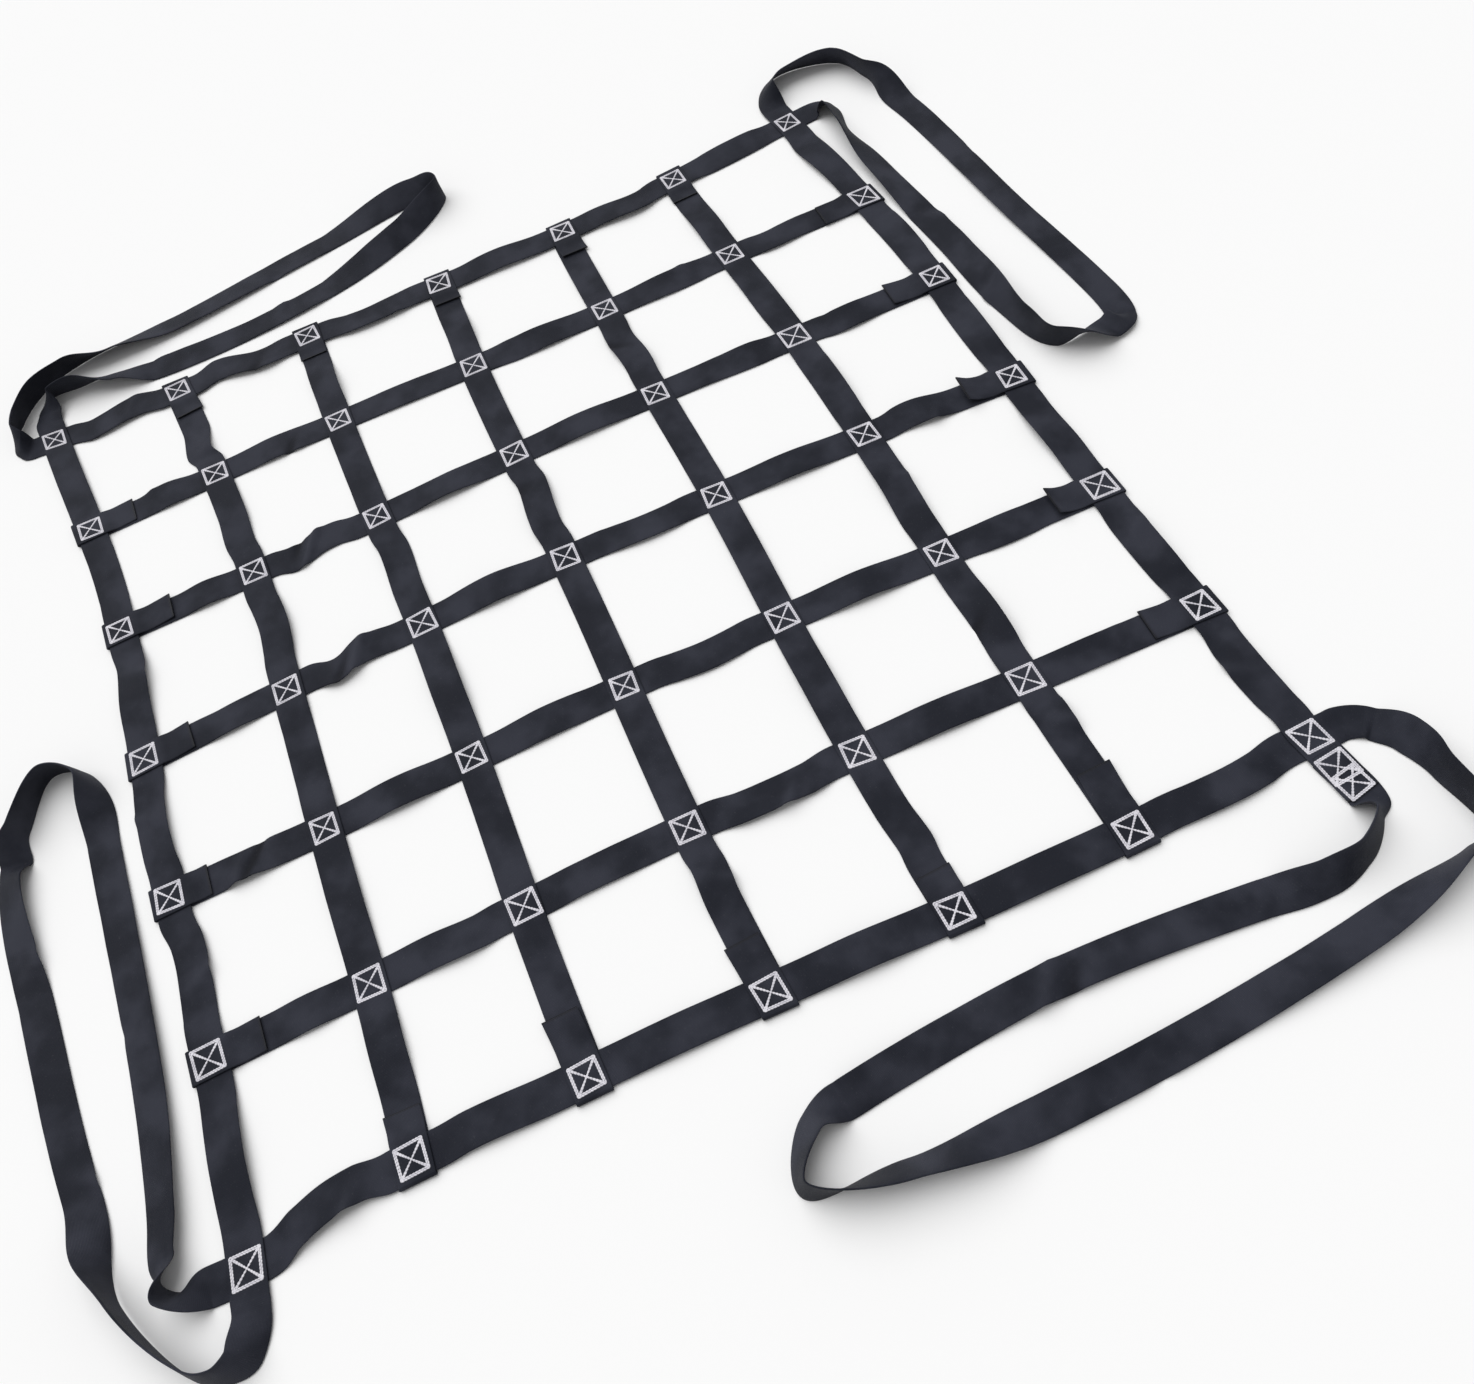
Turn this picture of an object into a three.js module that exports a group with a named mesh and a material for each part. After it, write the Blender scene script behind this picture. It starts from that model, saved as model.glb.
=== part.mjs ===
// Cargo lifting net of flat webbing, lying spread out on the ground: seven straps each way, sewn where they
// cross, with a lifting loop at each corner that the ends of two border straps run out into.
// Millimetres, +Z up, +X along the rows, +Y to the far side, origin on the ground under the middle crossing.
import * as THREE from "three";

// Webbing
const WIDTH = 50;
const THICK = 2.5;
const GAP = 0.3;
const LAYER = THICK + GAP;

// Net
const PITCH = 250;
const CELLS = 6;
const HALF = (PITCH * CELLS) / 2;
const SEWN = 30;
const WAVES = 1.5;
const PULL_FROM = 0.65;
const UNEVEN = 2.1;
const ROW_ARCH = 0.65;
const LIE_FADE = 0.25;

// Folded ends of the rows and columns, round the border's outer edge
const FOLD_CLEAR = 1.5;
const FOLD_STEPS = 4;
const TAIL_LEVEL = 4;
const TAIL_SEAT = 18;
const TAIL_FREE = 8;

// Border ends and loops
const BORDER_END = 35;
const SPLICE_END = 94;
const SPLICE_START = 33;
const LEAD_IN = 12;
const SPLICE_RUN = 70;
const STEPS_PER_BEND = 6;
const STEPS_PER_CELL = 8;
const INDICES_PER_QUAD = 6;

// Straps along X. line: its place in Y. tilt: rise at the +X end. bow: rise in the middle. wave and lag: size
// and start of a slow sideways wave. hump and phase: height of the arches between crossings and where they
// are highest.
const ROWS = [
  { name: "border_far", line: 750, tilt: 2, bow: -30, wave: 6, lag: 3.1, hump: 5, phase: 0.5 },
  { name: "row_1", line: 490, tilt: -7, bow: 3, wave: 4, lag: 3.7, hump: 6, phase: 0.9 },
  { name: "row_2", line: 246, tilt: -5, bow: 11, wave: 3, lag: 1, hump: 6, phase: 2.6 },
  { name: "row_3", line: -15, tilt: -8, bow: 29, wave: 2, lag: 2.3, hump: 8, phase: 4.1 },
  { name: "row_4", line: -265, tilt: -12, bow: 15, wave: 3, lag: 1.2, hump: 8, phase: 5.2 },
  { name: "row_5", line: -515, tilt: -8, bow: 17, wave: 2, lag: 1.2, hump: 6, phase: 0.2 },
  { name: "border_near", line: -754, tilt: -19, bow: -1, wave: 3, lag: 2.2, hump: 6, phase: 1.6 },
];

// Straps along Y, with the same columns: line is the place in X
const COLUMNS = [
  { name: "border_left", line: -744, tilt: -14, bow: 26, wave: 9, lag: -0.4, hump: 7, phase: 2.2 },
  { name: "column_1", line: -512, tilt: -12, bow: 27, wave: 5, lag: -0.2, hump: 6, phase: 0.7 },
  { name: "column_2", line: -266, tilt: -9, bow: 5, wave: 4, lag: 2.1, hump: 7, phase: 3.3 },
  { name: "column_3", line: -8, tilt: -3, bow: -8, wave: 4, lag: 1.8, hump: 5, phase: 1.4 },
  { name: "column_4", line: 245, tilt: -5, bow: -2, wave: 5, lag: 1.2, hump: 7, phase: 5 },
  { name: "column_5", line: 489, tilt: -12, bow: 12, wave: 5, lag: 0.6, hump: 6, phase: 4.3 },
  { name: "border_right", line: 744, tilt: -14, bow: 21, wave: 6, lag: -0.6, hump: 8, phase: 3.8 },
];

// Borders pulled out of line at a corner: the shift at the first and the last one, and how steeply the first
// end swings out past it where it is spliced
const PULLED = {
  border_near: { first: -40, last: 10, swing: 0 },
  border_right: { first: 12, last: 0, swing: 0.19 },
};
const UNPULLED = { first: 0, last: 0, swing: 0 };

// Cells where a strap strays or leans. cell: which of its six. at: the middle, as a share of the cell. reach: the
// share over which it fades to each side. sway: the shift to the left of the strap's way. lean: the roll in degrees.
const LIES = {
  border_far: [
    { cell: 0, at: 0.15, reach: 0.5, sway: -9, lean: 0 },
    { cell: 0, at: 0.85, reach: 0.5, sway: 7, lean: 3 },
    { cell: 1, at: 0.2, reach: 0.5, sway: 11, lean: 4 },
    { cell: 1, at: 0.65, reach: 0.4, sway: -6, lean: -6 },
    { cell: 2, at: 0.4, reach: 0.6, sway: -8, lean: -6 },
    { cell: 3, at: 0.4, reach: 0.5, sway: 2, lean: 4 },
    { cell: 4, at: 0.65, reach: 0.5, sway: -9, lean: -4 },
    { cell: 5, at: 0.5, reach: 0.8, sway: -4, lean: 13 },
  ],
  row_1: [
    { cell: 0, at: 0.4, reach: 0.6, sway: 0, lean: 6 },
    { cell: 3, at: 0.3, reach: 0.6, sway: -3, lean: 8 },
    { cell: 4, at: 0.6, reach: 0.5, sway: -3, lean: 8 },
    { cell: 5, at: 0.35, reach: 0.5, sway: -4, lean: -4 },
  ],
  row_2: [
    { cell: 1, at: 0.2, reach: 0.4, sway: -10, lean: 6 },
    { cell: 1, at: 0.7, reach: 0.4, sway: 6, lean: 2 },
    { cell: 2, at: 0.45, reach: 0.5, sway: 0, lean: -7 },
    { cell: 4, at: 0.75, reach: 0.5, sway: -2, lean: 9 },
    { cell: 5, at: 0.4, reach: 0.6, sway: -5, lean: 5 },
  ],
  row_3: [
    { cell: 0, at: 0.4, reach: 0.6, sway: -1, lean: -5 },
    { cell: 1, at: 0.3, reach: 0.3, sway: -11, lean: -12 },
    { cell: 1, at: 0.65, reach: 0.4, sway: 3, lean: 3 },
    { cell: 2, at: 0.5, reach: 0.7, sway: 0, lean: 6 },
    { cell: 3, at: 0.55, reach: 0.5, sway: -5, lean: -5 },
    { cell: 5, at: 0.3, reach: 0.5, sway: 3, lean: 6 },
  ],
  row_4: [
    { cell: 0, at: 0.3, reach: 0.4, sway: 0, lean: -13 },
    { cell: 2, at: 0.6, reach: 0.6, sway: 0, lean: 6 },
    { cell: 3, at: 0.5, reach: 0.5, sway: -8, lean: 0 },
    { cell: 5, at: 0.5, reach: 0.6, sway: -4, lean: 9 },
  ],
  row_5: [
    { cell: 1, at: 0.7, reach: 0.5, sway: -3, lean: -4 },
    { cell: 2, at: 0.3, reach: 0.5, sway: 1, lean: -4 },
    { cell: 3, at: 0.5, reach: 0.9, sway: -8, lean: -9 },
  ],
  border_near: [
    { cell: 0, at: 0.5, reach: 0.8, sway: 14, lean: -12 },
    { cell: 1, at: 0.3, reach: 0.6, sway: 3, lean: -3 },
    { cell: 5, at: 0.6, reach: 0.6, sway: -8, lean: -4 },
  ],
  border_left: [
    { cell: 0, at: 0.5, reach: 0.7, sway: 3, lean: -5 },
    { cell: 1, at: 0.65, reach: 0.6, sway: -8, lean: -6 },
    { cell: 2, at: 0.5, reach: 0.8, sway: 5, lean: -9 },
    { cell: 3, at: 0.75, reach: 0.5, sway: -4, lean: -7 },
  ],
  column_1: [
    { cell: 3, at: 0.5, reach: 0.5, sway: -7, lean: -3 },
    { cell: 4, at: 0.2, reach: 0.4, sway: 4, lean: 5 },
    { cell: 5, at: 0.25, reach: 0.5, sway: 10, lean: -9 },
  ],
  column_2: [
    { cell: 3, at: 0.7, reach: 0.5, sway: -5, lean: 6 },
    { cell: 5, at: 0.35, reach: 0.5, sway: 0, lean: -8 },
  ],
  column_3: [
    { cell: 0, at: 0.75, reach: 0.4, sway: -3, lean: 10 },
    { cell: 3, at: 0.2, reach: 0.4, sway: 4, lean: 6 },
    { cell: 3, at: 0.8, reach: 0.4, sway: -5, lean: 0 },
    { cell: 5, at: 0.45, reach: 0.5, sway: -1, lean: -9 },
  ],
  column_4: [
    { cell: 0, at: 0.2, reach: 0.4, sway: -3, lean: -6 },
    { cell: 4, at: 0.3, reach: 0.4, sway: -2, lean: -8 },
    { cell: 4, at: 0.7, reach: 0.4, sway: 3, lean: 4 },
  ],
  column_5: [
    { cell: 0, at: 0.75, reach: 0.5, sway: 0, lean: -14 },
    { cell: 1, at: 0.45, reach: 0.6, sway: -2, lean: -18 },
    { cell: 2, at: 0.2, reach: 0.5, sway: 2, lean: -10 },
    { cell: 3, at: 0.5, reach: 0.7, sway: 1, lean: -14 },
    { cell: 4, at: 0.3, reach: 0.5, sway: 1, lean: -8 },
  ],
  border_right: [
    { cell: 0, at: 0.5, reach: 0.7, sway: 8, lean: -12 },
    { cell: 1, at: 0.55, reach: 0.8, sway: 5, lean: -18 },
    { cell: 2, at: 0.6, reach: 0.4, sway: 3, lean: 4 },
    { cell: 3, at: 0.5, reach: 0.6, sway: 3, lean: -13 },
    { cell: 4, at: 0.5, reach: 0.7, sway: 0, lean: -13 },
    { cell: 5, at: 0.7, reach: 0.6, sway: 6, lean: -10 },
  ],
};

// Folded ends, first and last: how far each reaches past the border's inner edge, how far it strays sideways
// and how high its tip stands off
const TAILS = {
  row_1: [{ length: 56, drift: 4, lift: 0 }, { length: 61, drift: -2, lift: 1 }],
  row_2: [{ length: 64, drift: 6, lift: 2 }, { length: 61, drift: 5, lift: 3 }],
  row_3: [{ length: 53, drift: 4, lift: 1 }, { length: 59, drift: 5, lift: 14 }],
  row_4: [{ length: 34, drift: 3, lift: 0 }, { length: 53, drift: 6, lift: 10 }],
  row_5: [{ length: 52, drift: 2, lift: 1 }, { length: 55, drift: 4, lift: 2 }],
  column_1: [{ length: 38, drift: 2, lift: 0 }, { length: 40, drift: -4, lift: 1 }],
  column_2: [{ length: 63, drift: 5, lift: 3 }, { length: 28, drift: 2, lift: 0 }],
  column_3: [{ length: 52, drift: 4, lift: 2 }, { length: 27, drift: -3, lift: 1 }],
  column_4: [{ length: 36, drift: -2, lift: 0 }, { length: 38, drift: -5, lift: 2 }],
  column_5: [{ length: 74, drift: -5, lift: 2 }, { length: 34, drift: 2, lift: 0 }],
};

// Lifting loops, each in the frame of its corner: along is the way the loop lies and out points away from the
// net. A row is one bend or run. roll turns the webbing about its length, 0 or 180 lying flat and 90 standing
// on edge, and lift raises it off the ground.
const LOOPS = [
  {
    name: "loop_far_left",
    turn: 0,
    start: { border: "border_left", end: 1 },
    finish: { border: "border_far", end: -1 },
    bends: [
      { along: 0, out: 70, roll: -10, lift: 0 },
      { along: 10, out: 100, roll: -58, lift: 0 },
      { along: 58, out: 104, roll: -70, lift: 0 },
      { along: 140, out: 86, roll: -30, lift: 0 },
      { along: 230, out: 70, roll: 6, lift: 0 },
      { along: 508, out: 84, roll: -4, lift: 0 },
      { along: 726, out: 142, roll: 34, lift: 0 },
      { along: 834, out: 214, roll: 86, lift: 0 },
      { along: 780, out: 241, roll: 140, lift: 0 },
      { along: 558, out: 215, roll: 182, lift: 0 },
      { along: 269, out: 170, roll: 190, lift: 0 },
      { along: 139, out: 164, roll: 216, lift: 0 },
      { along: 52, out: 158, roll: 248, lift: 0 },
      { along: -14, out: 124, roll: 260, lift: 0 },
      { along: -48, out: 76, roll: 256, lift: 0 },
      { along: -64, out: 36, roll: 248, lift: 0 },
      { along: -58, out: 11, roll: 222, lift: 0 },
    ],
  },
  {
    name: "loop_far_right",
    turn: -90,
    start: { border: "border_far", end: 1 },
    finish: { border: "border_right", end: 1 },
    bends: [
      { along: -2, out: 68, roll: -14, lift: 0 },
      { along: 18, out: 82, roll: -46, lift: 0 },
      { along: 84, out: 77, roll: -58, lift: 0 },
      { along: 214, out: 86, roll: -20, lift: 0 },
      { along: 473, out: 106, roll: 12, lift: 0 },
      { along: 694, out: 108, roll: 78, lift: 0 },
      { along: 756, out: 132, roll: 98, lift: 0 },
      { along: 765, out: 242, roll: 192, lift: 6 },
      { along: 742, out: 258, roll: 178, lift: 0 },
      { along: 410, out: 236, roll: 186, lift: 0 },
      { along: 84, out: 212, roll: 178, lift: 0 },
      { along: -34, out: 181, roll: 74, lift: 0 },
      { along: -104, out: 151, roll: 66, lift: 0 },
      { along: -126, out: 46, roll: 48, lift: 0 },
      { along: -94, out: 0, roll: 50, lift: 0 },
    ],
  },
  {
    name: "loop_near_left",
    turn: 90,
    start: { border: "border_near", end: -1 },
    finish: { border: "border_left", end: -1 },
    bends: [
      { along: 5, out: 90, roll: 72, lift: 0 },
      { along: 55, out: 96, roll: 154, lift: 0 },
      { along: 110, out: 88, roll: 158, lift: 0 },
      { along: 270, out: 78, roll: 168, lift: 0 },
      { along: 652, out: 83, roll: 178, lift: 0 },
      { along: 780, out: 85, roll: 260, lift: 0 },
      { along: 812, out: 140, roll: 262, lift: 0 },
      { along: 737, out: 192, roll: 275, lift: 0 },
      { along: 662, out: 222, roll: 385, lift: 0 },
      { along: 408, out: 209, roll: 357, lift: 0 },
      { along: 180, out: 188, roll: 357, lift: 0 },
      { along: 24, out: 154, roll: 262, lift: 4 },
      { along: -89, out: 79, roll: 256, lift: 0 },
      { along: -104, out: 46, roll: 250, lift: 0 },
      { along: -94, out: 16, roll: 230, lift: 0 },
    ],
  },
  {
    name: "loop_near_right",
    turn: 180,
    start: { border: "border_right", end: -1, spliced: true },
    finish: { border: "border_near", end: 1 },
    bends: [
      { along: -2, out: 130, roll: -66, lift: 0 },
      { along: 40, out: 162, roll: -60, lift: 0 },
      { along: 100, out: 170, roll: -36, lift: 0 },
      { along: 181, out: 156, roll: 2, lift: 0 },
      { along: 466, out: 132, roll: 8, lift: 0 },
      { along: 733, out: 147, roll: -14, lift: 0 },
      { along: 804, out: 158, roll: 50, lift: 0 },
      { along: 844, out: 220, roll: 73, lift: 0 },
      { along: 720, out: 253, roll: 124, lift: 0 },
      { along: 483, out: 266, roll: 192, lift: 4 },
      { along: 101, out: 244, roll: 162, lift: 0 },
      { along: -72, out: 214, roll: 100, lift: 0 },
      { along: -108, out: 204, roll: 90, lift: 0 },
      { along: -106, out: 112, roll: 104, lift: 0 },
      { along: -102, out: 56, roll: 142, lift: 0 },
      { along: -76, out: 14, roll: 184, lift: 0 },
    ],
  },
];

const UP = new THREE.Vector3(0, 0, 1);
const webbing = new THREE.MeshStandardMaterial({ color: 0x2d303a, roughness: 0.85, metalness: 0 });

// How far a strap lies from its axis at a distance s along it
function across(strap, s) {
  const share = s / HALF;
  const { first, last, swing } = PULLED[strap.name] ?? UNPULLED;
  const corner = (share < 0 ? first : last) * THREE.MathUtils.smoothstep(Math.abs(share), PULL_FROM, 1);
  const slow = strap.wave * Math.sin(WAVES * Math.PI * share + strap.lag);
  const past = swing * Math.max(0, -s - HALF);
  return strap.line + strap.tilt * share + strap.bow * (1 - share ** 2) + slow + corner + past;
}

// Point of a strap's middle line on the ground
function pointOn(strap, s) {
  const c = across(strap, s);
  return ROWS.includes(strap) ? new THREE.Vector3(s, c, 0) : new THREE.Vector3(c, s, 0);
}

function headingOn(strap, s) {
  return pointOn(strap, s + 1).sub(pointOn(strap, s - 1)).normalize();
}

// Where a row and a column cross, as the distance along each
function crossing(row, column) {
  let alongColumn = row.line;
  let alongRow = column.line;
  for (let round = 0; round < CELLS; round += 1) {
    alongRow = across(column, alongColumn);
    alongColumn = across(row, alongRow);
  }
  return { alongRow, alongColumn };
}

// Distances along a strap of its seven crossings, first to last
function crossingsOf(strap) {
  const places = ROWS.includes(strap)
    ? COLUMNS.map((column) => crossing(strap, column).alongRow)
    : ROWS.map((row) => crossing(row, strap).alongColumn);
  return places.sort((a, b) => a - b);
}

// Underside height of a strap at each crossing. Rows pass under columns, every strap that ends at a border
// passes under it, and the left and right borders lie over the other two at the corners.
function layersOf(strap) {
  const tailed = strap.name in TAILS;
  const inner = ROWS.includes(strap) && tailed ? 0 : LAYER;
  const corner = COLUMNS.includes(strap) && !tailed ? LAYER : 0;
  return Array.from({ length: CELLS + 1 }, (_, k) => (k === 0 || k === CELLS ? corner : inner));
}

// How strongly one uneven lie shows at a share of its cell: nothing at the crossings, most at its middle
function lieAt({ at, reach }, share) {
  const fade = THREE.MathUtils.smoothstep(Math.min(share, 1 - share), 0, LIE_FADE);
  return fade * THREE.MathUtils.smoothstep(1 - Math.abs(share - at) / reach, 0, 1);
}

// Sections of a strap between two crossings: flat where it is sewn, then one soft arch
function cellSections(from, to, low, high, hump, lies) {
  return Array.from({ length: STEPS_PER_CELL + 1 }, (_, k) => {
    const share = k / STEPS_PER_CELL;
    const ease = THREE.MathUtils.smoothstep(share, 0, 1);
    const arch = hump * Math.sin(Math.PI * share) ** 2;
    const drift = lies.reduce((sum, lie) => sum + lie.sway * lieAt(lie, share), 0);
    const lean = THREE.MathUtils.degToRad(lies.reduce((sum, lie) => sum + lie.lean * lieAt(lie, share), 0));
    const rise = (WIDTH * Math.abs(Math.sin(lean)) + THICK * Math.cos(lean)) / 2;
    const middle = THREE.MathUtils.lerp(low, high, ease) + arch + THICK / 2;
    return { s: from + (to - from) * share, z: Math.max(middle, rise), drift, lean, slant: 0 };
  });
}

// A strap's run from the first crossing to the last
function runSections(strap, places) {
  const layers = layersOf(strap);
  const [first, last] = TAILS[strap.name] ?? [];
  const clear = (tail) => (tail ? WIDTH / 2 + tail.length + TAIL_FREE : SEWN);
  const sections = [];
  for (let k = 0; k < CELLS; k += 1) {
    const from = places[k] + (k === 0 ? clear(first) : SEWN);
    const to = places[k + 1] - (k === CELLS - 1 ? clear(last) : SEWN);
    const swing = Math.sin(strap.phase + UNEVEN * k);
    const share = ROWS.includes(strap) ? ROW_ARCH + (1 - ROW_ARCH) * swing : swing;
    const lies = LIES[strap.name].filter((lie) => lie.cell === k);
    sections.push(...cellSections(from, to, layers[k], layers[k + 1], strap.hump * share, lies));
  }
  return sections;
}

// How far a strap's sections slant where it meets a border, so that its fold follows the border's edge
function slantAt(strap, border) {
  const isRow = ROWS.includes(strap);
  const { alongRow, alongColumn } = isRow ? crossing(strap, border) : crossing(border, strap);
  const heading = headingOn(strap, isRow ? alongRow : alongColumn);
  const edge = headingOn(border, isRow ? alongColumn : alongRow);
  return edge.dot(heading) / edge.dot(UP.clone().cross(heading));
}

// A folded end, from the tip of the tail to the underside of the border. way is +1 or -1, towards the net.
function tailSections(place, { length, drift, lift }, way, slant) {
  const top = 2 * LAYER + THICK / 2;
  const seated = LAYER + THICK / 2;
  const edge = (WIDTH / 2) * Math.hypot(1, slant);
  const section = (reach, z, slanted) => {
    const share = Math.max(0, reach + edge) / (length + 2 * edge);
    return { s: place + way * reach, z, drift: drift * share ** 2, lean: 0, slant: slanted };
  };
  const tail = [
    section(edge + length, seated + lift, 0),
    section(edge + (length + TAIL_SEAT) / 2, seated + lift / 4, 0),
    section(edge + TAIL_SEAT, seated, slant),
    section(edge + TAIL_LEVEL, top, slant),
  ];
  const fold = Array.from({ length: FOLD_STEPS + 1 }, (_, k) => {
    const angle = (Math.PI * k) / FOLD_STEPS;
    const reach = -edge - FOLD_CLEAR - LAYER * Math.sin(angle);
    return section(reach, seated + LAYER * Math.cos(angle), slant);
  });
  return [...tail, ...fold];
}

// Places the sections of a strap in the net and turns each square to the way the webbing runs
function strapStations(strap, sections) {
  const centres = sections.map(({ s, z, drift }) => {
    const side = UP.clone().cross(headingOn(strap, s));
    return pointOn(strap, s).addScaledVector(side, drift).setZ(z);
  });
  return sections.map(({ s, lean, slant }, k) => {
    const before = centres[Math.max(0, k - 1)];
    const after = centres[Math.min(centres.length - 1, k + 1)];
    const ahead = after.clone().sub(before).normalize();
    const heading = headingOn(strap, s);
    const level = UP.clone().cross(heading).addScaledVector(heading, slant);
    const square = ahead.cross(level).normalize();
    const side = level.clone().multiplyScalar(Math.cos(lean)).addScaledVector(square, Math.sin(lean));
    const normal = square.multiplyScalar(Math.cos(lean)).addScaledVector(level, -Math.sin(lean));
    return { centre: centres[k], side, normal };
  });
}

// Splits the underside's quads along the same diagonals as the top's, so twisted webbing keeps its thickness
function matchDiagonals(box) {
  const index = box.getIndex();
  const { start, count } = box.groups.at(-1);
  for (let i = start; i < start + count; i += INDICES_PER_QUAD) {
    index.setX(i + 2, index.getX(i + 4));
    index.setX(i + 3, index.getX(i));
  }
}

// A length of webbing bent through its stations
function bendWebbing(name, stations) {
  const steps = stations.length - 1;
  const box = new THREE.BoxGeometry(1, WIDTH, THICK, steps, 1, 1);
  matchDiagonals(box);
  const corners = box.getAttribute("position");
  for (let i = 0; i < corners.count; i += 1) {
    const { centre, side, normal } = stations[Math.round((corners.getX(i) + 0.5) * steps)];
    const point = centre.clone();
    point.addScaledVector(side, corners.getY(i)).addScaledVector(normal, corners.getZ(i));
    corners.setXYZ(i, point.x, point.y, point.z);
  }
  box.computeVertexNormals();
  const mesh = new THREE.Mesh(box, webbing);
  mesh.name = name;
  return mesh;
}

// How far a border runs past its corner crossing at one end
function borderReach(strap, end) {
  return PULLED[strap.name]?.swing && end < 0 ? SPLICE_END : BORDER_END;
}

function borderStrap(strap) {
  const places = crossingsOf(strap);
  const layers = layersOf(strap);
  const endSection = (end, k) => ({
    s: places[k] + end * borderReach(strap, end),
    z: layers[k] + THICK / 2,
    drift: 0,
    lean: 0,
    slant: 0,
  });
  const sections = [endSection(-1, 0), ...runSections(strap, places), endSection(1, CELLS)];
  return bendWebbing(strap.name, strapStations(strap, sections));
}

function innerStrap(strap) {
  const places = crossingsOf(strap);
  const [first, last] = TAILS[strap.name];
  const [start, finish] = ROWS.includes(strap) ? [COLUMNS[0], COLUMNS[CELLS]] : [ROWS[CELLS], ROWS[0]];
  const sections = [
    ...tailSections(places[0], first, 1, slantAt(strap, start)),
    ...runSections(strap, places),
    ...tailSections(places[CELLS], last, -1, slantAt(strap, finish)).reverse(),
  ];
  return bendWebbing(strap.name, strapStations(strap, sections));
}

// Two points where a loop carries on the line of a border, in the frame of its corner
function lead(corner, { border, end, spliced }, roll) {
  const strap = [...ROWS, ...COLUMNS].find((each) => each.name === border);
  const places = crossingsOf(strap);
  const layers = layersOf(strap);
  const at = end < 0 ? 0 : CELLS;
  const reach = spliced ? SPLICE_START : BORDER_END + GAP;
  const heading = headingOn(strap, places[at] + end * BORDER_END).multiplyScalar(end);
  const near = pointOn(strap, places[at] + end * BORDER_END).addScaledVector(heading, reach - BORDER_END);
  const far = near.clone().addScaledVector(heading, spliced ? SPLICE_RUN : LEAD_IN);
  return [near, far].map((point) => {
    const { x, y } = corner.worldToLocal(point);
    return { along: x, out: y, roll, lift: spliced ? 0 : layers[at] };
  });
}

// Stations of a loop: a smooth line on the ground, with the webbing rolled about it and on its low edge
function loopStations(route) {
  const plan = new THREE.CatmullRomCurve3(route.map((r) => new THREE.Vector3(r.along, r.out, 0)));
  const bends = route.length - 1;
  const steps = STEPS_PER_BEND * bends;
  return Array.from({ length: steps + 1 }, (_, k) => {
    const share = k / steps;
    const ahead = plan.getTangent(share);
    const bend = Math.min(Math.floor(k / STEPS_PER_BEND), bends - 1);
    const ease = THREE.MathUtils.smoothstep(k / STEPS_PER_BEND, bend, bend + 1);
    const roll = THREE.MathUtils.degToRad(THREE.MathUtils.lerp(route[bend].roll, route[bend + 1].roll, ease));
    const lift = THREE.MathUtils.lerp(route[bend].lift, route[bend + 1].lift, ease);
    const left = UP.clone().cross(ahead);
    const side = left.multiplyScalar(Math.cos(roll)).addScaledVector(UP, Math.sin(roll));
    const rise = (WIDTH * Math.abs(Math.sin(roll)) + THICK * Math.abs(Math.cos(roll))) / 2;
    const centre = plan.getPoint(share).setZ(lift + rise);
    return { centre, side, normal: ahead.clone().cross(side).normalize() };
  });
}

function liftingLoop({ name, turn, start, finish, bends }) {
  const meets = (strap) => [start.border, finish.border].includes(strap.name);
  const { alongRow, alongColumn } = crossing(ROWS.find(meets), COLUMNS.find(meets));
  const corner = new THREE.Group();
  corner.position.set(alongRow, alongColumn, 0);
  corner.rotation.z = THREE.MathUtils.degToRad(turn);
  corner.updateMatrixWorld(true);
  const flat = 180 * Math.round(bends.at(-1).roll / 180);
  const route = [...lead(corner, start, 0), ...bends, ...lead(corner, finish, flat).reverse()];
  corner.add(bendWebbing(name, loopStations(route)));
  return corner;
}

const net = new THREE.Group();
for (const strap of [...ROWS, ...COLUMNS]) {
  net.add(strap.name in TAILS ? innerStrap(strap) : borderStrap(strap));
}
net.add(...LOOPS.map(liftingLoop));

export default net;
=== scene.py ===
# %% [markdown]
# # A cargo lifting net of flat webbing
# The net lies spread out on the ground. Seven straps run each way, every crossing is sewn with a white box
# and cross, and at each corner two border straps run out into a long lifting loop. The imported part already
# holds every strap as a plain solid. This lesson models each one again as a thin woven band with soft
# edges, lays the thread on stitch by stitch, and gives both a finish made of nodes. All sizes are metres,
# in the part's frame. Two helpers come first, to add an object to the scene and to close a mesh.

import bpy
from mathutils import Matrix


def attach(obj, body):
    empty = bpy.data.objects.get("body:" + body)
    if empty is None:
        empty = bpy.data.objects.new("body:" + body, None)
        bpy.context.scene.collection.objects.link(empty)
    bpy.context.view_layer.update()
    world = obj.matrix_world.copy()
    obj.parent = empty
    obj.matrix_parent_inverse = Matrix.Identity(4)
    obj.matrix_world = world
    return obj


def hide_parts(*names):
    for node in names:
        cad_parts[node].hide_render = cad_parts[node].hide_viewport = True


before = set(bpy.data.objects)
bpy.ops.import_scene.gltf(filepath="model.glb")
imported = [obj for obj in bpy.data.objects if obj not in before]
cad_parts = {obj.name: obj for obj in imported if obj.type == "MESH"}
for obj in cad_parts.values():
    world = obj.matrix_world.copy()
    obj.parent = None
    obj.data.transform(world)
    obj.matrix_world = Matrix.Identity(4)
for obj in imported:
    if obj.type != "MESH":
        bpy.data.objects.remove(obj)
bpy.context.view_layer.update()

import math
import random
from collections import namedtuple

import bmesh
import bpy
from mathutils import Matrix, Vector, noise

scene = bpy.context.scene
UP = Vector((0, 0, 1))


def add_object(name, data):
    item = bpy.data.objects.new(name, data)
    scene.collection.objects.link(item)
    return item


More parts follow.
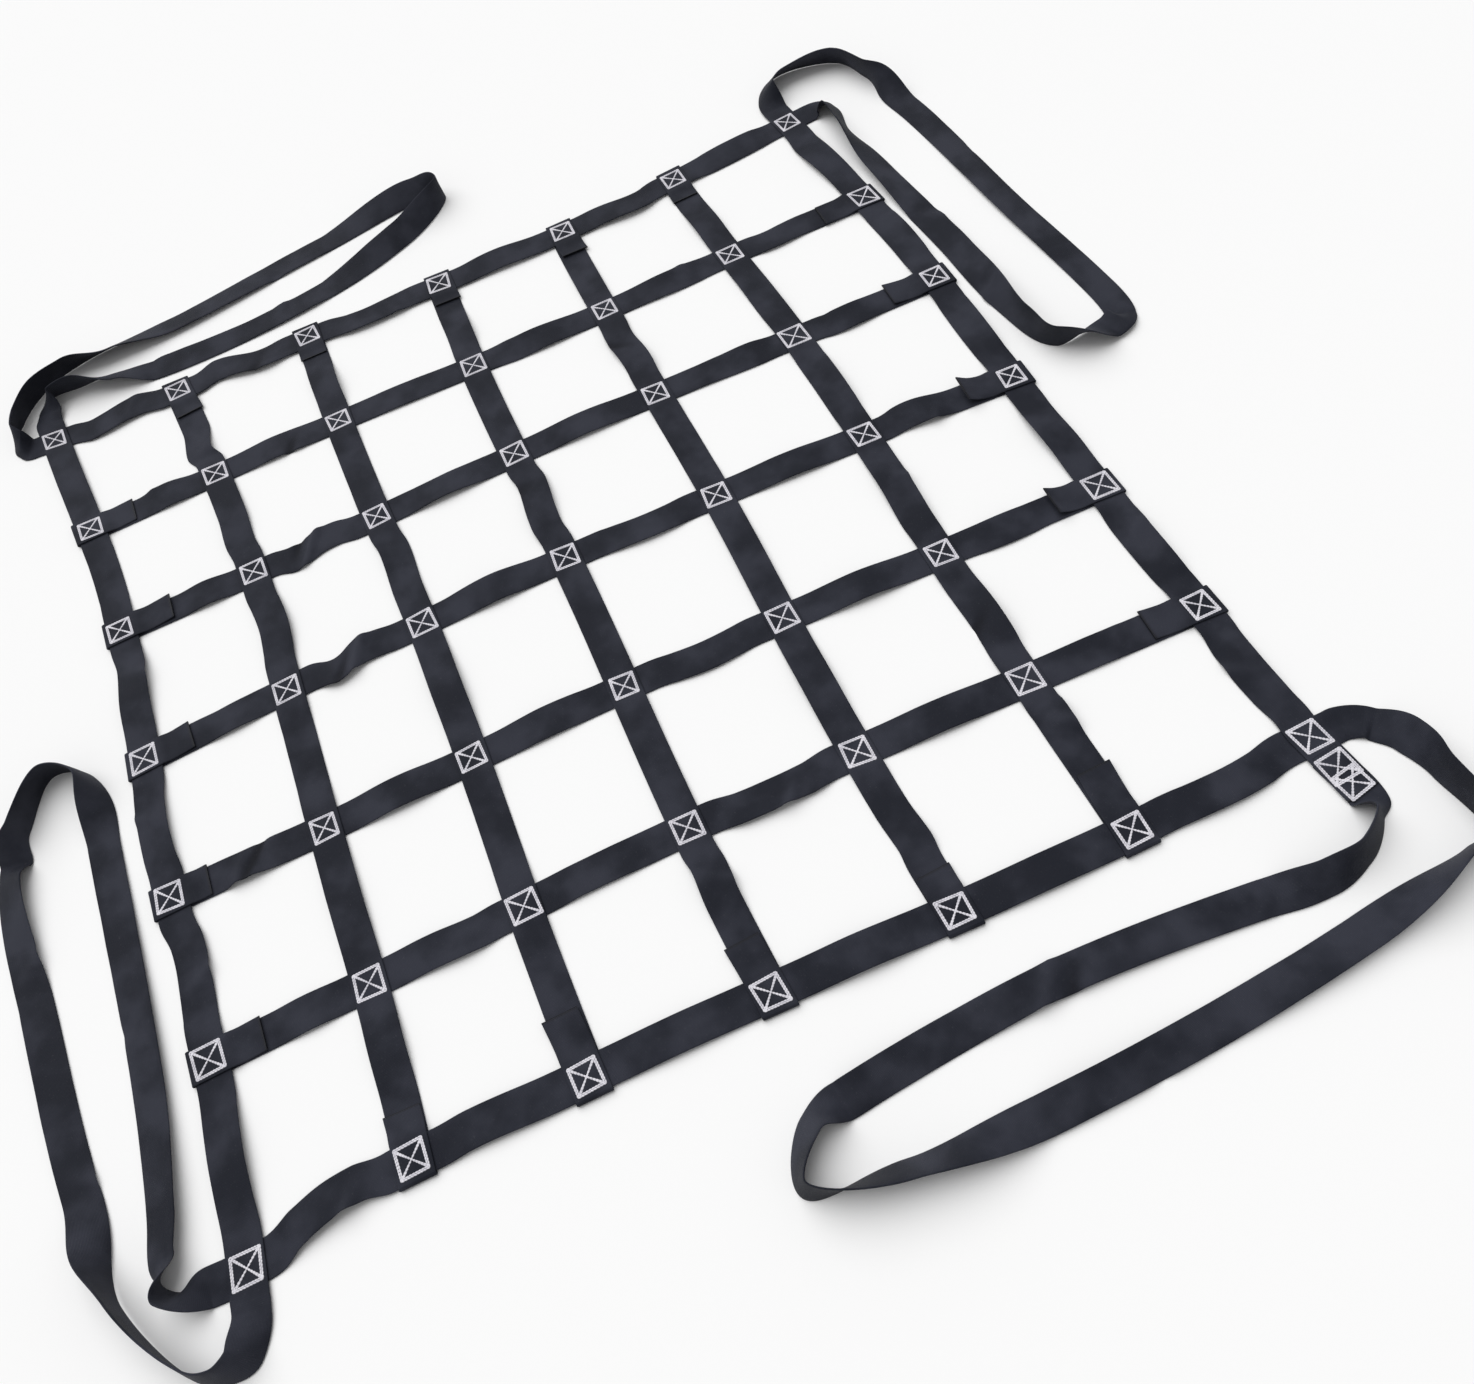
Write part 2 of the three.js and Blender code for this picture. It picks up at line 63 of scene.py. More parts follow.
def close_mesh(build, name):
    mesh = bpy.data.meshes.new(name)
    build.to_mesh(mesh)
    build.free()
    return mesh


# %% [markdown]
# ## Camera
# The picture looks steeply down on the net from its near side, and the camera leans to one side, so the
# rows climb across the frame. A Track To constraint could aim the camera, but it always keeps it level.
# Three axes in a matrix, turned about the line of sight, give the lean as well.

# %% Camera
IMAGE_WIDTH = 1474
FOCAL_PIXELS = 1200
SENSOR = 36.0
SHOT_AZIMUTH = math.radians(-8.92)
SHOT_ELEVATION = math.radians(60.62)
SHOT_LEAN = math.radians(-17.15)
SHOT_DISTANCE = 1.7428
SHOT_TARGET = Vector((0.1323, -0.3333, 0))

back = Vector((
    math.sin(SHOT_AZIMUTH) * math.cos(SHOT_ELEVATION),
    -math.cos(SHOT_AZIMUTH) * math.cos(SHOT_ELEVATION),
    math.sin(SHOT_ELEVATION),
))
right = UP.cross(back).normalized()
axes = Matrix((right, back.cross(right), back)).transposed()
camera_data = bpy.data.cameras.new("camera")
camera_data.sensor_width = SENSOR
camera_data.lens = SENSOR * FOCAL_PIXELS / IMAGE_WIDTH
camera = add_object("camera", camera_data)
turned = Matrix.Rotation(SHOT_LEAN, 3, back) @ axes
camera.matrix_world = Matrix.Translation(SHOT_TARGET + SHOT_DISTANCE * back) @ turned.to_4x4()
scene.camera = camera
camera_at = tuple(round(x, 3) for x in camera.matrix_world.translation)
print("camera at", camera_at, "lens", round(camera_data.lens, 2))

# %% [markdown]
# ## Floor and light
# The net shows best on a plain pale floor. Dark webbing needs a light that is soft but not from everywhere:
# a broad sun from the far side lights the flat runs, and leaves the sides that stand up towards the viewer
# in shade. A weak white surround lifts the shadows. The Standard view keeps the near white of the floor.

# %% Floor and light
FLOOR_REACH = 30.0
FLOOR_DROP = 0.0004
SUN_STRENGTH = 2.35
SUN_SPREAD = math.radians(70)
SUN_FROM = Vector((-0.25, 0.6, 1.0))
SURROUND = 0.36

floor_build = bmesh.new()
bmesh.ops.create_grid(floor_build, x_segments=1, y_segments=1, size=FLOOR_REACH)
bmesh.ops.translate(floor_build, vec=(0, 0, -FLOOR_DROP), verts=floor_build.verts)
floor = add_object("floor", close_mesh(floor_build, "floor"))

sun_data = bpy.data.lights.new("soft_sun", "SUN")
sun_data.energy = SUN_STRENGTH
sun_data.angle = SUN_SPREAD
sun = add_object("soft_sun", sun_data)
sun.rotation_euler = SUN_FROM.to_track_quat("Z", "Y").to_euler()

scene.world = bpy.data.worlds.new("surround")
scene.world.use_nodes = True
sky = scene.world.node_tree.nodes["Background"]
sky.inputs["Color"].default_value = (1, 1, 1, 1)
sky.inputs["Strength"].default_value = SURROUND
scene.view_settings.view_transform = "Standard"
print("floor side", 2 * FLOOR_REACH, "sun", SUN_STRENGTH, "surround", SURROUND)

# %% [markdown]
# ## Node helpers
# Finishes are built from many small nodes. A few helpers keep that short: they add a node, set or link its
# inputs, and stand for the nodes used most: Math, Mix and Bump. One makes a wave from 0 to 1 and back, and
# the last three make groups and materials.

# %% Node helpers
MIX_INPUTS = (0, 6, 7)
MIX_RESULT = 2


def add_node(tree, kind, **options):
    node = tree.nodes.new(kind)
    for option, value in options.items():
        setattr(node, option, value)
    return node


def set_inputs(node, values):
    for name, value in values.items():
        node.inputs[name].default_value = value


def feed(tree, socket, value):
    if isinstance(value, bpy.types.NodeSocket):
        tree.links.new(value, socket)
    else:
        socket.default_value = value


def calc(tree, operation, *values):
    node = add_node(tree, "ShaderNodeMath", operation=operation)
    for socket, value in zip(node.inputs, values):
        feed(tree, socket, value)
    return node.outputs["Value"]


def wave(tree, turns):
    swing = calc(tree, "SINE", calc(tree, "MULTIPLY", turns, math.tau))
    return calc(tree, "MULTIPLY_ADD", swing, 0.5, 0.5)


def mix_colour(tree, share, first, second):
    node = add_node(tree, "ShaderNodeMix", data_type="RGBA")
    for k, value in zip(MIX_INPUTS, (share, first, second)):
        feed(tree, node.inputs[k], value)
    return node.outputs[MIX_RESULT]


def add_bump(tree, shader, height, values):
    bump = add_node(tree, "ShaderNodeBump")
    set_inputs(bump, values)
    tree.links.new(height, bump.inputs["Height"])
    tree.links.new(bump.outputs["Normal"], shader.inputs["Normal"])


def new_group(name, inputs, outputs):
    group = bpy.data.node_groups.new(name, "ShaderNodeTree")
    for socket_name, kind, value in inputs:
        socket = group.interface.new_socket(socket_name, in_out="INPUT", socket_type=kind)
        if value is not None:
            socket.default_value = value
    for socket_name in outputs:
        group.interface.new_socket(socket_name, in_out="OUTPUT", socket_type="NodeSocketFloat")
    return group, add_node(group, "NodeGroupInput").outputs, add_node(group, "NodeGroupOutput").inputs


def place_group(tree, group, **values):
    node = add_node(tree, "ShaderNodeGroup", node_tree=group)
    for name, value in values.items():
        feed(tree, node.inputs[name.replace("_", " ").capitalize()], value)
    return node.outputs


def new_material(name):
    material = bpy.data.materials.new(name)
    material.use_nodes = True
    return material, material.node_tree, material.node_tree.nodes["Principled BSDF"]


print("helpers ready")

# %% [markdown]
# ## Weave
# Webbing is woven with its strong yarns running lengthwise in narrow ribs, and the cross yarn pulls each
# rib into a slant that turns back at the next one, which gives the herringbone look. Real yarns would be
# millions of faces, and a picture of cloth would repeat, so the weave is worked out from where a point lies
# on the band: across it and along it, both in metres, from the band's own UV map.

# %% Weave group
YARN_SHARE = 0.55
RIB_ROUND = 0.5


def build_weave():
    inputs = [
        ("Place", "NodeSocketVector", None),
        ("Rib", "NodeSocketFloat", 0.0016),
        ("Pick", "NodeSocketFloat", 0.0019),
        ("Slant", "NodeSocketFloat", 0.5),
    ]
    group, given, out = new_group("webbing_weave", inputs, ["Height", "Valley"])
    place = add_node(group, "ShaderNodeSeparateXYZ")
    group.links.new(given["Place"], place.inputs[0])
    rib = calc(group, "DIVIDE", place.outputs["X"], given["Rib"])
    zigzag = calc(group, "PINGPONG", rib, 1.0)
    pick = calc(group, "DIVIDE", place.outputs["Y"], given["Pick"])
    slanted = calc(group, "ADD", pick, calc(group, "MULTIPLY", zigzag, given["Slant"]))
    groove = calc(group, "ABSOLUTE", calc(group, "SINE", calc(group, "MULTIPLY", rib, math.pi)))
    rib_height = calc(group, "POWER", groove, RIB_ROUND)
    yarn_height = calc(group, "MULTIPLY_ADD", wave(group, slanted), YARN_SHARE, 1 - YARN_SHARE)
    height = calc(group, "MULTIPLY", rib_height, yarn_height)
    group.links.new(height, out["Height"])
    # The valley share drives painted shade in the webbing finish.
    group.links.new(calc(group, "SUBTRACT", 1.0, height), out["Valley"])
    return group


weave_group = build_weave()
print("weave group:", len(weave_group.nodes), "nodes")

# %% [markdown]
# ## Handling
# Cloth that has been used isn't one even tone. Broad soft patches are a little lighter where it was rubbed,
# and fine specks of dust sit on it. Both come from noise on Object coordinates. The webbing, the thread and
# the floor all need them, so they are one group with its own sizes for each finish.

# %% Handling group
Cloud = namedtuple("Cloud", "name size detail low high")
CLOUDS = Cloud("Patch", 0.09, 3.0, 0.35, 0.68), Cloud("Speck", 0.0016, 1.0, 0.66, 0.8)


def build_handling():
    inputs = [(cloud.name + " size", "NodeSocketFloat", cloud.size) for cloud in CLOUDS]
    group, given, out = new_group("handling", inputs, [cloud.name for cloud in CLOUDS])
    where = add_node(group, "ShaderNodeTexCoord").outputs["Object"]
    for cloud in CLOUDS:
        spots = add_node(group, "ShaderNodeTexNoise")
        group.links.new(where, spots.inputs["Vector"])
        group.links.new(calc(group, "DIVIDE", 1.0, given[cloud.name + " size"]), spots.inputs["Scale"])
        set_inputs(spots, {"Detail": cloud.detail})
        spread = add_node(group, "ShaderNodeMapRange", interpolation_type="SMOOTHSTEP")
        group.links.new(spots.outputs[0], spread.inputs["Value"])
        set_inputs(spread, {"From Min": cloud.low, "From Max": cloud.high})
        group.links.new(spread.outputs["Result"], out[cloud.name])
    return group


handling_group = build_handling()
print("handling group:", len(handling_group.nodes), "nodes")

# %% [markdown]
# ## Furrows under the stitching
# A row of tight stitches pulls the webbing down along its line. Cutting such furrows into the mesh would
# need very small faces, so each strap carries an attribute instead: how far a point lies from the middle of
# the nearest sewn box along both straps, and whether it lies near that box at all. The group turns this
# into the distance from the box's outline and its cross.

# %% Furrow group
BOX_HALF = 0.0187
FURROW = 0.0028


def build_furrow():
    inputs = [("Box place", "NodeSocketVector", None)]
    group, given, out = new_group("sewn_furrow", inputs, ["Depth"])
    place = add_node(group, "ShaderNodeSeparateXYZ")
    group.links.new(given["Box place"], place.inputs[0])
    along = calc(group, "ABSOLUTE", place.outputs["X"])
    over = calc(group, "ABSOLUTE", place.outputs["Y"])
    widest = calc(group, "MAXIMUM", along, over)
    from_outline = calc(group, "ABSOLUTE", calc(group, "SUBTRACT", widest, BOX_HALF))
    from_cross = calc(group, "ABSOLUTE", calc(group, "SUBTRACT", along, over))
    past_box = calc(group, "MAXIMUM", calc(group, "SUBTRACT", widest, BOX_HALF), 0.0)
    nearest = calc(group, "MINIMUM", from_outline, calc(group, "ADD", from_cross, past_box))
    depth = add_node(group, "ShaderNodeMapRange", interpolation_type="SMOOTHSTEP")
    group.links.new(nearest, depth.inputs["Value"])
    set_inputs(depth, {"From Max": FURROW, "To Min": 1.0, "To Max": 0.0})
    # The depth also drives painted shade along the stitch furrows in the webbing finish.
    group.links.new(calc(group, "MULTIPLY", depth.outputs["Result"], place.outputs["Z"]), out["Depth"])
    return group


furrow_group = build_furrow()
print("furrow group:", len(furrow_group.nodes), "nodes")

# %% [markdown]
# ## Webbing finish
# The webbing is charcoal polyester with a touch of blue. Its weave valleys get painted shade, so they are
# darker than the yarns that stand up. Rubbed patches are paler, the ridges of creases get a painted
# highlight, troughs and furrows get painted shade, and the cut ends are melted, so they are darker and
# smoother. Everything that changes over the cloth goes through nodes, and each tint is a row: what drives
# it, how strongly, and its colour. What is the same all over, such as the sheen of the yarn, is set on the
# shader itself.

# %% Webbing finish
CHARCOAL = (0.0125, 0.0145, 0.0235, 1)
# Paler colour for the rubbed patches, and also the painted highlight on crease ridges.
RUBBED_AND_RIDGE_LIT = (0.040, 0.043, 0.060, 1)
# Painted shade, mixed into crease troughs, weave valleys and stitch furrows.
SHADED = (0.0055, 0.006, 0.0095, 1)
DUST = (0.16, 0.16, 0.165, 1)
MELTED = (0.008, 0.008, 0.010, 1)
# How strongly crease ridges get the painted highlight.
RIDGE_HIGHLIGHT = 0.5
TROUGH_SHADE = -0.8
VALLEY_SHADE = 0.45
FURROW_SHADE = 0.35
SPECK_DUST = 0.12
END_MELT = 0.8
CLOTH_ROUGH = 0.66
PATCH_ROUGH = 0.08
END_ROUGH = -0.35
WEAVE_RELIEF = 0.0005
WEAVE_STRENGTH = 0.7
FURROW_RELIEF = 1.6
CLOTH_SHINE = {"Specular IOR Level": 0.16, "Sheen Weight": 0.03, "Sheen Roughness": 0.45}

webbing, tree, shader = new_material("woven_webbing")
band_place = add_node(tree, "ShaderNodeUVMap", uv_map="band").outputs["UV"]
box_place = add_node(tree, "ShaderNodeAttribute", attribute_name="box_place").outputs["Vector"]
cut_end = add_node(tree, "ShaderNodeAttribute", attribute_name="cut_end").outputs["Fac"]
creased = add_node(tree, "ShaderNodeAttribute", attribute_name="creased").outputs["Fac"]
weave = place_group(tree, weave_group, place=band_place)
furrow = place_group(tree, furrow_group, box_place=box_place)
handled = place_group(tree, handling_group, patch_size=0.08, speck_size=0.0022)
# Rubbed patches are real wear; the crease ridges add a painted highlight in the same paler colour.
rubbed_and_ridge_lit = calc(tree, "ADD", handled["Patch"], calc(tree, "MULTIPLY", creased, RIDGE_HIGHLIGHT))
tone = mix_colour(tree, rubbed_and_ridge_lit, CHARCOAL, RUBBED_AND_RIDGE_LIT)
# Painted shade in crease troughs, weave valleys and stitch furrows; the dust specks and melted ends are the
# cloth's own.
for cause, strength, tint in (
    (creased, TROUGH_SHADE, SHADED),
    (weave["Valley"], VALLEY_SHADE, SHADED),
    (furrow["Depth"], FURROW_SHADE, SHADED),
    (handled["Speck"], SPECK_DUST, DUST),
    (cut_end, END_MELT, MELTED),
):
    tone = mix_colour(tree, calc(tree, "MULTIPLY", cause, strength), tone, tint)
tree.links.new(tone, shader.inputs["Base Color"])
rough = calc(tree, "MULTIPLY_ADD", handled["Patch"], PATCH_ROUGH, CLOTH_ROUGH)
tree.links.new(calc(tree, "MULTIPLY_ADD", cut_end, END_ROUGH, rough), shader.inputs["Roughness"])
height = calc(tree, "MULTIPLY_ADD", furrow["Depth"], -FURROW_RELIEF, weave["Height"])
add_bump(tree, shader, height, {"Distance": WEAVE_RELIEF, "Strength": WEAVE_STRENGTH})
set_inputs(shader, CLOTH_SHINE)
print("webbing finish:", len(tree.nodes), "nodes")

# %% [markdown]
# ## Thread and floor finish
# The thread is white polyester, twisted from plies, a little greyed in places. Each stitch has its own UV
# map from the sphere that it starts as, so slanted stripes on that map read as the twist, and the grooves
# between the plies get painted shade. The floor is plain and pale, with only a faint unevenness in its
# shine.

# %% Thread and floor finish
THREAD_WHITE = (0.82, 0.805, 0.86, 1)
THREAD_GREY = (0.52, 0.51, 0.57, 1)
PLY_TURNS = 2.0
PLIES = 3.0
PLY_RELIEF = 0.0002
PLY_GROOVE_SHADE = 0.2
PATCH_GREY = 0.6
THREAD_ROUGH = 0.55
SPECK_ROUGH = 0.2
THREAD_SHEEN = 0.1
FLOOR_PALE = (0.975, 0.975, 0.975, 1)
FLOOR_ROUGH = 0.9
FLOOR_UNEVEN = 0.06
FLOOR_SHINE = 0.1

thread, tree, shader = new_material("white_thread")
ply_place = add_node(tree, "ShaderNodeSeparateXYZ")
tree.links.new(add_node(tree, "ShaderNodeUVMap", uv_map="stitch").outputs["UV"], ply_place.inputs[0])
around = calc(tree, "MULTIPLY", ply_place.outputs["X"], PLIES)
twist = calc(tree, "MULTIPLY_ADD", ply_place.outputs["Y"], PLY_TURNS, around)
ply = wave(tree, twist)
handled = place_group(tree, handling_group, patch_size=0.012, speck_size=0.0012)
tone = mix_colour(tree, calc(tree, "MULTIPLY", handled["Patch"], PATCH_GREY), THREAD_WHITE, THREAD_GREY)
# Painted shade: the grooves between the plies are mixed towards grey.
tone = mix_colour(tree, calc(tree, "MULTIPLY_ADD", ply, -PLY_GROOVE_SHADE, PLY_GROOVE_SHADE), tone, THREAD_GREY)
tree.links.new(tone, shader.inputs["Base Color"])
rough = calc(tree, "MULTIPLY_ADD", handled["Speck"], SPECK_ROUGH, THREAD_ROUGH)
tree.links.new(rough, shader.inputs["Roughness"])
add_bump(tree, shader, ply, {"Distance": PLY_RELIEF})
set_inputs(shader, {"Sheen Weight": THREAD_SHEEN})

floor_finish, tree, shader = new_material("pale_floor")
set_inputs(shader, {"Base Color": FLOOR_PALE, "Specular IOR Level": FLOOR_SHINE})
handled = place_group(tree, handling_group, patch_size=0.8, speck_size=0.01)
rough = calc(tree, "MULTIPLY_ADD", handled["Patch"], FLOOR_UNEVEN, FLOOR_ROUGH)
tree.links.new(rough, shader.inputs["Roughness"])
floor.data.materials.append(floor_finish)
print("finishes:", [m.name for m in bpy.data.materials if m.users])

# %% [markdown]
# ## Where the straps lie
# No strap on the ground is straight. Each has a line, a tilt, a bow and a slow wave, and arches a little
# between its crossings. These are the same tables as the part's own, so every new band lies where its solid
# does.

# %% Strap tables
WIDTH = 0.050
THICK = 0.0025
GAP = 0.0003
LAYER = THICK + GAP
PITCH = 0.250
CELLS = 6
HALF = PITCH * CELLS / 2
SEWN = 0.030
WAVES = 1.5
PULL_FROM = 0.65
UNEVEN = 2.1
ROW_ARCH = 0.65

Strap = namedtuple("Strap", "name line tilt bow wave lag hump phase")
ROWS = [Strap(*values) for values in (
    ("border_far", 0.750, 0.002, -0.030, 0.006, 3.1, 0.005, 0.5),
    ("row_1", 0.490, -0.007, 0.003, 0.004, 3.7, 0.006, 0.9),
    ("row_2", 0.246, -0.005, 0.011, 0.003, 1.0, 0.006, 2.6),
    ("row_3", -0.015, -0.008, 0.029, 0.002, 2.3, 0.008, 4.1),
    ("row_4", -0.265, -0.012, 0.015, 0.003, 1.2, 0.008, 5.2),
    ("row_5", -0.515, -0.008, 0.017, 0.002, 1.2, 0.006, 0.2),
    ("border_near", -0.754, -0.019, -0.001, 0.003, 2.2, 0.006, 1.6),
)]
COLUMNS = [Strap(*values) for values in (
    ("border_left", -0.744, -0.014, 0.026, 0.009, -0.4, 0.007, 2.2),
    ("column_1", -0.512, -0.012, 0.027, 0.005, -0.2, 0.006, 0.7),
    ("column_2", -0.266, -0.009, 0.005, 0.004, 2.1, 0.007, 3.3),
    ("column_3", -0.008, -0.003, -0.008, 0.004, 1.8, 0.005, 1.4),
    ("column_4", 0.245, -0.005, -0.002, 0.005, 1.2, 0.007, 5.0),
    ("column_5", 0.489, -0.012, 0.012, 0.005, 0.6, 0.006, 4.3),
    ("border_right", 0.744, -0.014, 0.021, 0.006, -0.6, 0.008, 3.8),
)]
STRAPS = {strap.name: strap for strap in ROWS + COLUMNS}
Pull = namedtuple("Pull", "first last swing")
PULLED = {"border_near": Pull(-0.040, 0.010, 0), "border_right": Pull(0.012, 0, 0.19)}
UNPULLED = Pull(0, 0, 0)
print("straps:", len(ROWS), "rows and", len(COLUMNS), "columns")

# %% [markdown]
# Between its crossings a strap also strays to one side, or leans so that one edge stands off the ground.
# Noise could do this everywhere, but the eye knows the big ones by their places, so they are set one by
# one: the cell, the middle as a share of it, how far it fades to each side, the shift to the left and the
# lean in degrees.

# %% Uneven cells
LIE_FADE = 0.25
Lie = namedtuple("Lie", "cell at reach sway lean")
LIES = {name: [Lie(*row) for row in rows] for name, rows in {
    "border_far": (
        (0, 0.15, 0.5, -0.009, 0), (0, 0.85, 0.5, 0.007, 3), (1, 0.2, 0.5, 0.011, 4),
        (1, 0.65, 0.4, -0.006, -6), (2, 0.4, 0.6, -0.008, -6), (3, 0.4, 0.5, 0.002, 4),
        (4, 0.65, 0.5, -0.009, -4), (5, 0.5, 0.8, -0.004, 13),
    ),
    "row_1": (
        (0, 0.4, 0.6, 0, 6), (3, 0.3, 0.6, -0.003, 8), (4, 0.6, 0.5, -0.003, 8), (5, 0.35, 0.5, -0.004, -4),
    ),
    "row_2": (
        (1, 0.2, 0.4, -0.01, 6), (1, 0.7, 0.4, 0.006, 2), (2, 0.45, 0.5, 0, -7), (4, 0.75, 0.5, -0.002, 9),
        (5, 0.4, 0.6, -0.005, 5),
    ),
    "row_3": (
        (0, 0.4, 0.6, -0.001, -5), (1, 0.3, 0.3, -0.011, -12), (1, 0.65, 0.4, 0.003, 3), (2, 0.5, 0.7, 0, 6),
        (3, 0.55, 0.5, -0.005, -5), (5, 0.3, 0.5, 0.003, 6),
    ),
    "row_4": (
        (0, 0.3, 0.4, 0, -13), (2, 0.6, 0.6, 0, 6), (3, 0.5, 0.5, -0.008, 0), (5, 0.5, 0.6, -0.004, 9),
    ),
    "row_5": ((1, 0.7, 0.5, -0.003, -4), (2, 0.3, 0.5, 0.001, -4), (3, 0.5, 0.9, -0.008, -9)),
    "border_near": ((0, 0.5, 0.8, 0.014, -12), (1, 0.3, 0.6, 0.003, -3), (5, 0.6, 0.6, -0.008, -4)),
    "border_left": (
        (0, 0.5, 0.7, 0.003, -5), (1, 0.65, 0.6, -0.008, -6), (2, 0.5, 0.8, 0.005, -9),
        (3, 0.75, 0.5, -0.004, -7),
    ),
    "column_1": ((3, 0.5, 0.5, -0.007, -3), (4, 0.2, 0.4, 0.004, 5), (5, 0.25, 0.5, 0.01, -9)),
    "column_2": ((3, 0.7, 0.5, -0.005, 6), (5, 0.35, 0.5, 0, -8)),
    "column_3": (
        (0, 0.75, 0.4, -0.003, 10), (3, 0.2, 0.4, 0.004, 6), (3, 0.8, 0.4, -0.005, 0),
        (5, 0.45, 0.5, -0.001, -9),
    ),
    "column_4": ((0, 0.2, 0.4, -0.003, -6), (4, 0.3, 0.4, -0.002, -8), (4, 0.7, 0.4, 0.003, 4)),
    "column_5": (
        (0, 0.75, 0.5, 0, -14), (1, 0.45, 0.6, -0.002, -18), (2, 0.2, 0.5, 0.002, -10),
        (3, 0.5, 0.7, 0.001, -14), (4, 0.3, 0.5, 0.001, -8),
    ),
    "border_right": (
        (0, 0.5, 0.7, 0.008, -12), (1, 0.55, 0.8, 0.005, -18), (2, 0.6, 0.4, 0.003, 4),
        (3, 0.5, 0.6, 0.003, -13), (4, 0.5, 0.7, 0, -13), (5, 0.7, 0.6, 0.006, -10),
    ),
}.items()}
print("uneven cells:", sum(map(len, LIES.values())))

# %% [markdown]
# From the tables come the middle line of a strap, the way it heads, and where two straps cross. The lines
# bend, so a crossing is found by going from one line to the other a few times, which settles quickly.

# %% Lines and crossings
PROBE = 0.001


def ease(x, low=0.0, high=1.0):
    share = min(1.0, max(0.0, (x - low) / (high - low)))
    return share * share * (3 - 2 * share)


def across(strap, s):
    share = s / HALF
    pull = PULLED.get(strap.name, UNPULLED)
    corner = (pull.first if share < 0 else pull.last) * ease(abs(share), PULL_FROM, 1)
    slow = strap.wave * math.sin(WAVES * math.pi * share + strap.lag)
    past = pull.swing * max(0, -s - HALF)
    return strap.line + strap.tilt * share + strap.bow * (1 - share ** 2) + slow + corner + past


def point_on(strap, s):
    c = across(strap, s)
    return Vector((s, c, 0)) if strap in ROWS else Vector((c, s, 0))


def heading_on(strap, s):
    return (point_on(strap, s + PROBE) - point_on(strap, s - PROBE)).normalized()


def crossing(row, column):
    along_column = row.line
    for _ in range(CELLS):
        along_row = across(column, along_column)
        along_column = across(row, along_row)
    return along_row, along_column


def places_of(strap):
    if strap in ROWS:
        return sorted(crossing(strap, column)[0] for column in COLUMNS)
    return sorted(crossing(row, strap)[1] for row in ROWS)


middle = crossing(STRAPS["row_3"], STRAPS["column_3"])
print("middle crossing at", tuple(round(x, 4) for x in middle))

# %% [markdown]
# ## Sewn boxes
# Each of the 49 crossings has one sewn box, and the end of the right border is spliced to the strap of the
# loop below it with two more that overlap. A box is kept as its middle, the directions of its sides, and
# the height of the cloth on top: three layers where a strap is folded over a border, and two elsewhere. The
# boxes are needed twice, for the furrows and for the thread, so they are listed first.

# %% Sewn boxes
SPLICE_BOXES = (0.051, 0.0755)
SewnBox = namedtuple("SewnBox", "owner middle along over top")

boxes = []
for column in COLUMNS:
    for row in ROWS:
        along_row, along_column = crossing(row, column)
        sides = heading_on(row, along_row), heading_on(column, along_column)
        folded = row.name.startswith("border") != column.name.startswith("border")
        top = (2 if folded else 1) * LAYER + THICK
        boxes.append(SewnBox(column.name, point_on(row, along_row), *sides, top))
ending = STRAPS["border_right"]
corner_at = crossing(STRAPS["border_near"], ending)[1]
for reach in SPLICE_BOXES:
    over = heading_on(ending, corner_at - reach)
    spot = point_on(ending, corner_at - reach)
    boxes.append(SewnBox(ending.name, spot, over.cross(UP), over, LAYER + THICK))
print("sewn boxes:", len(boxes))
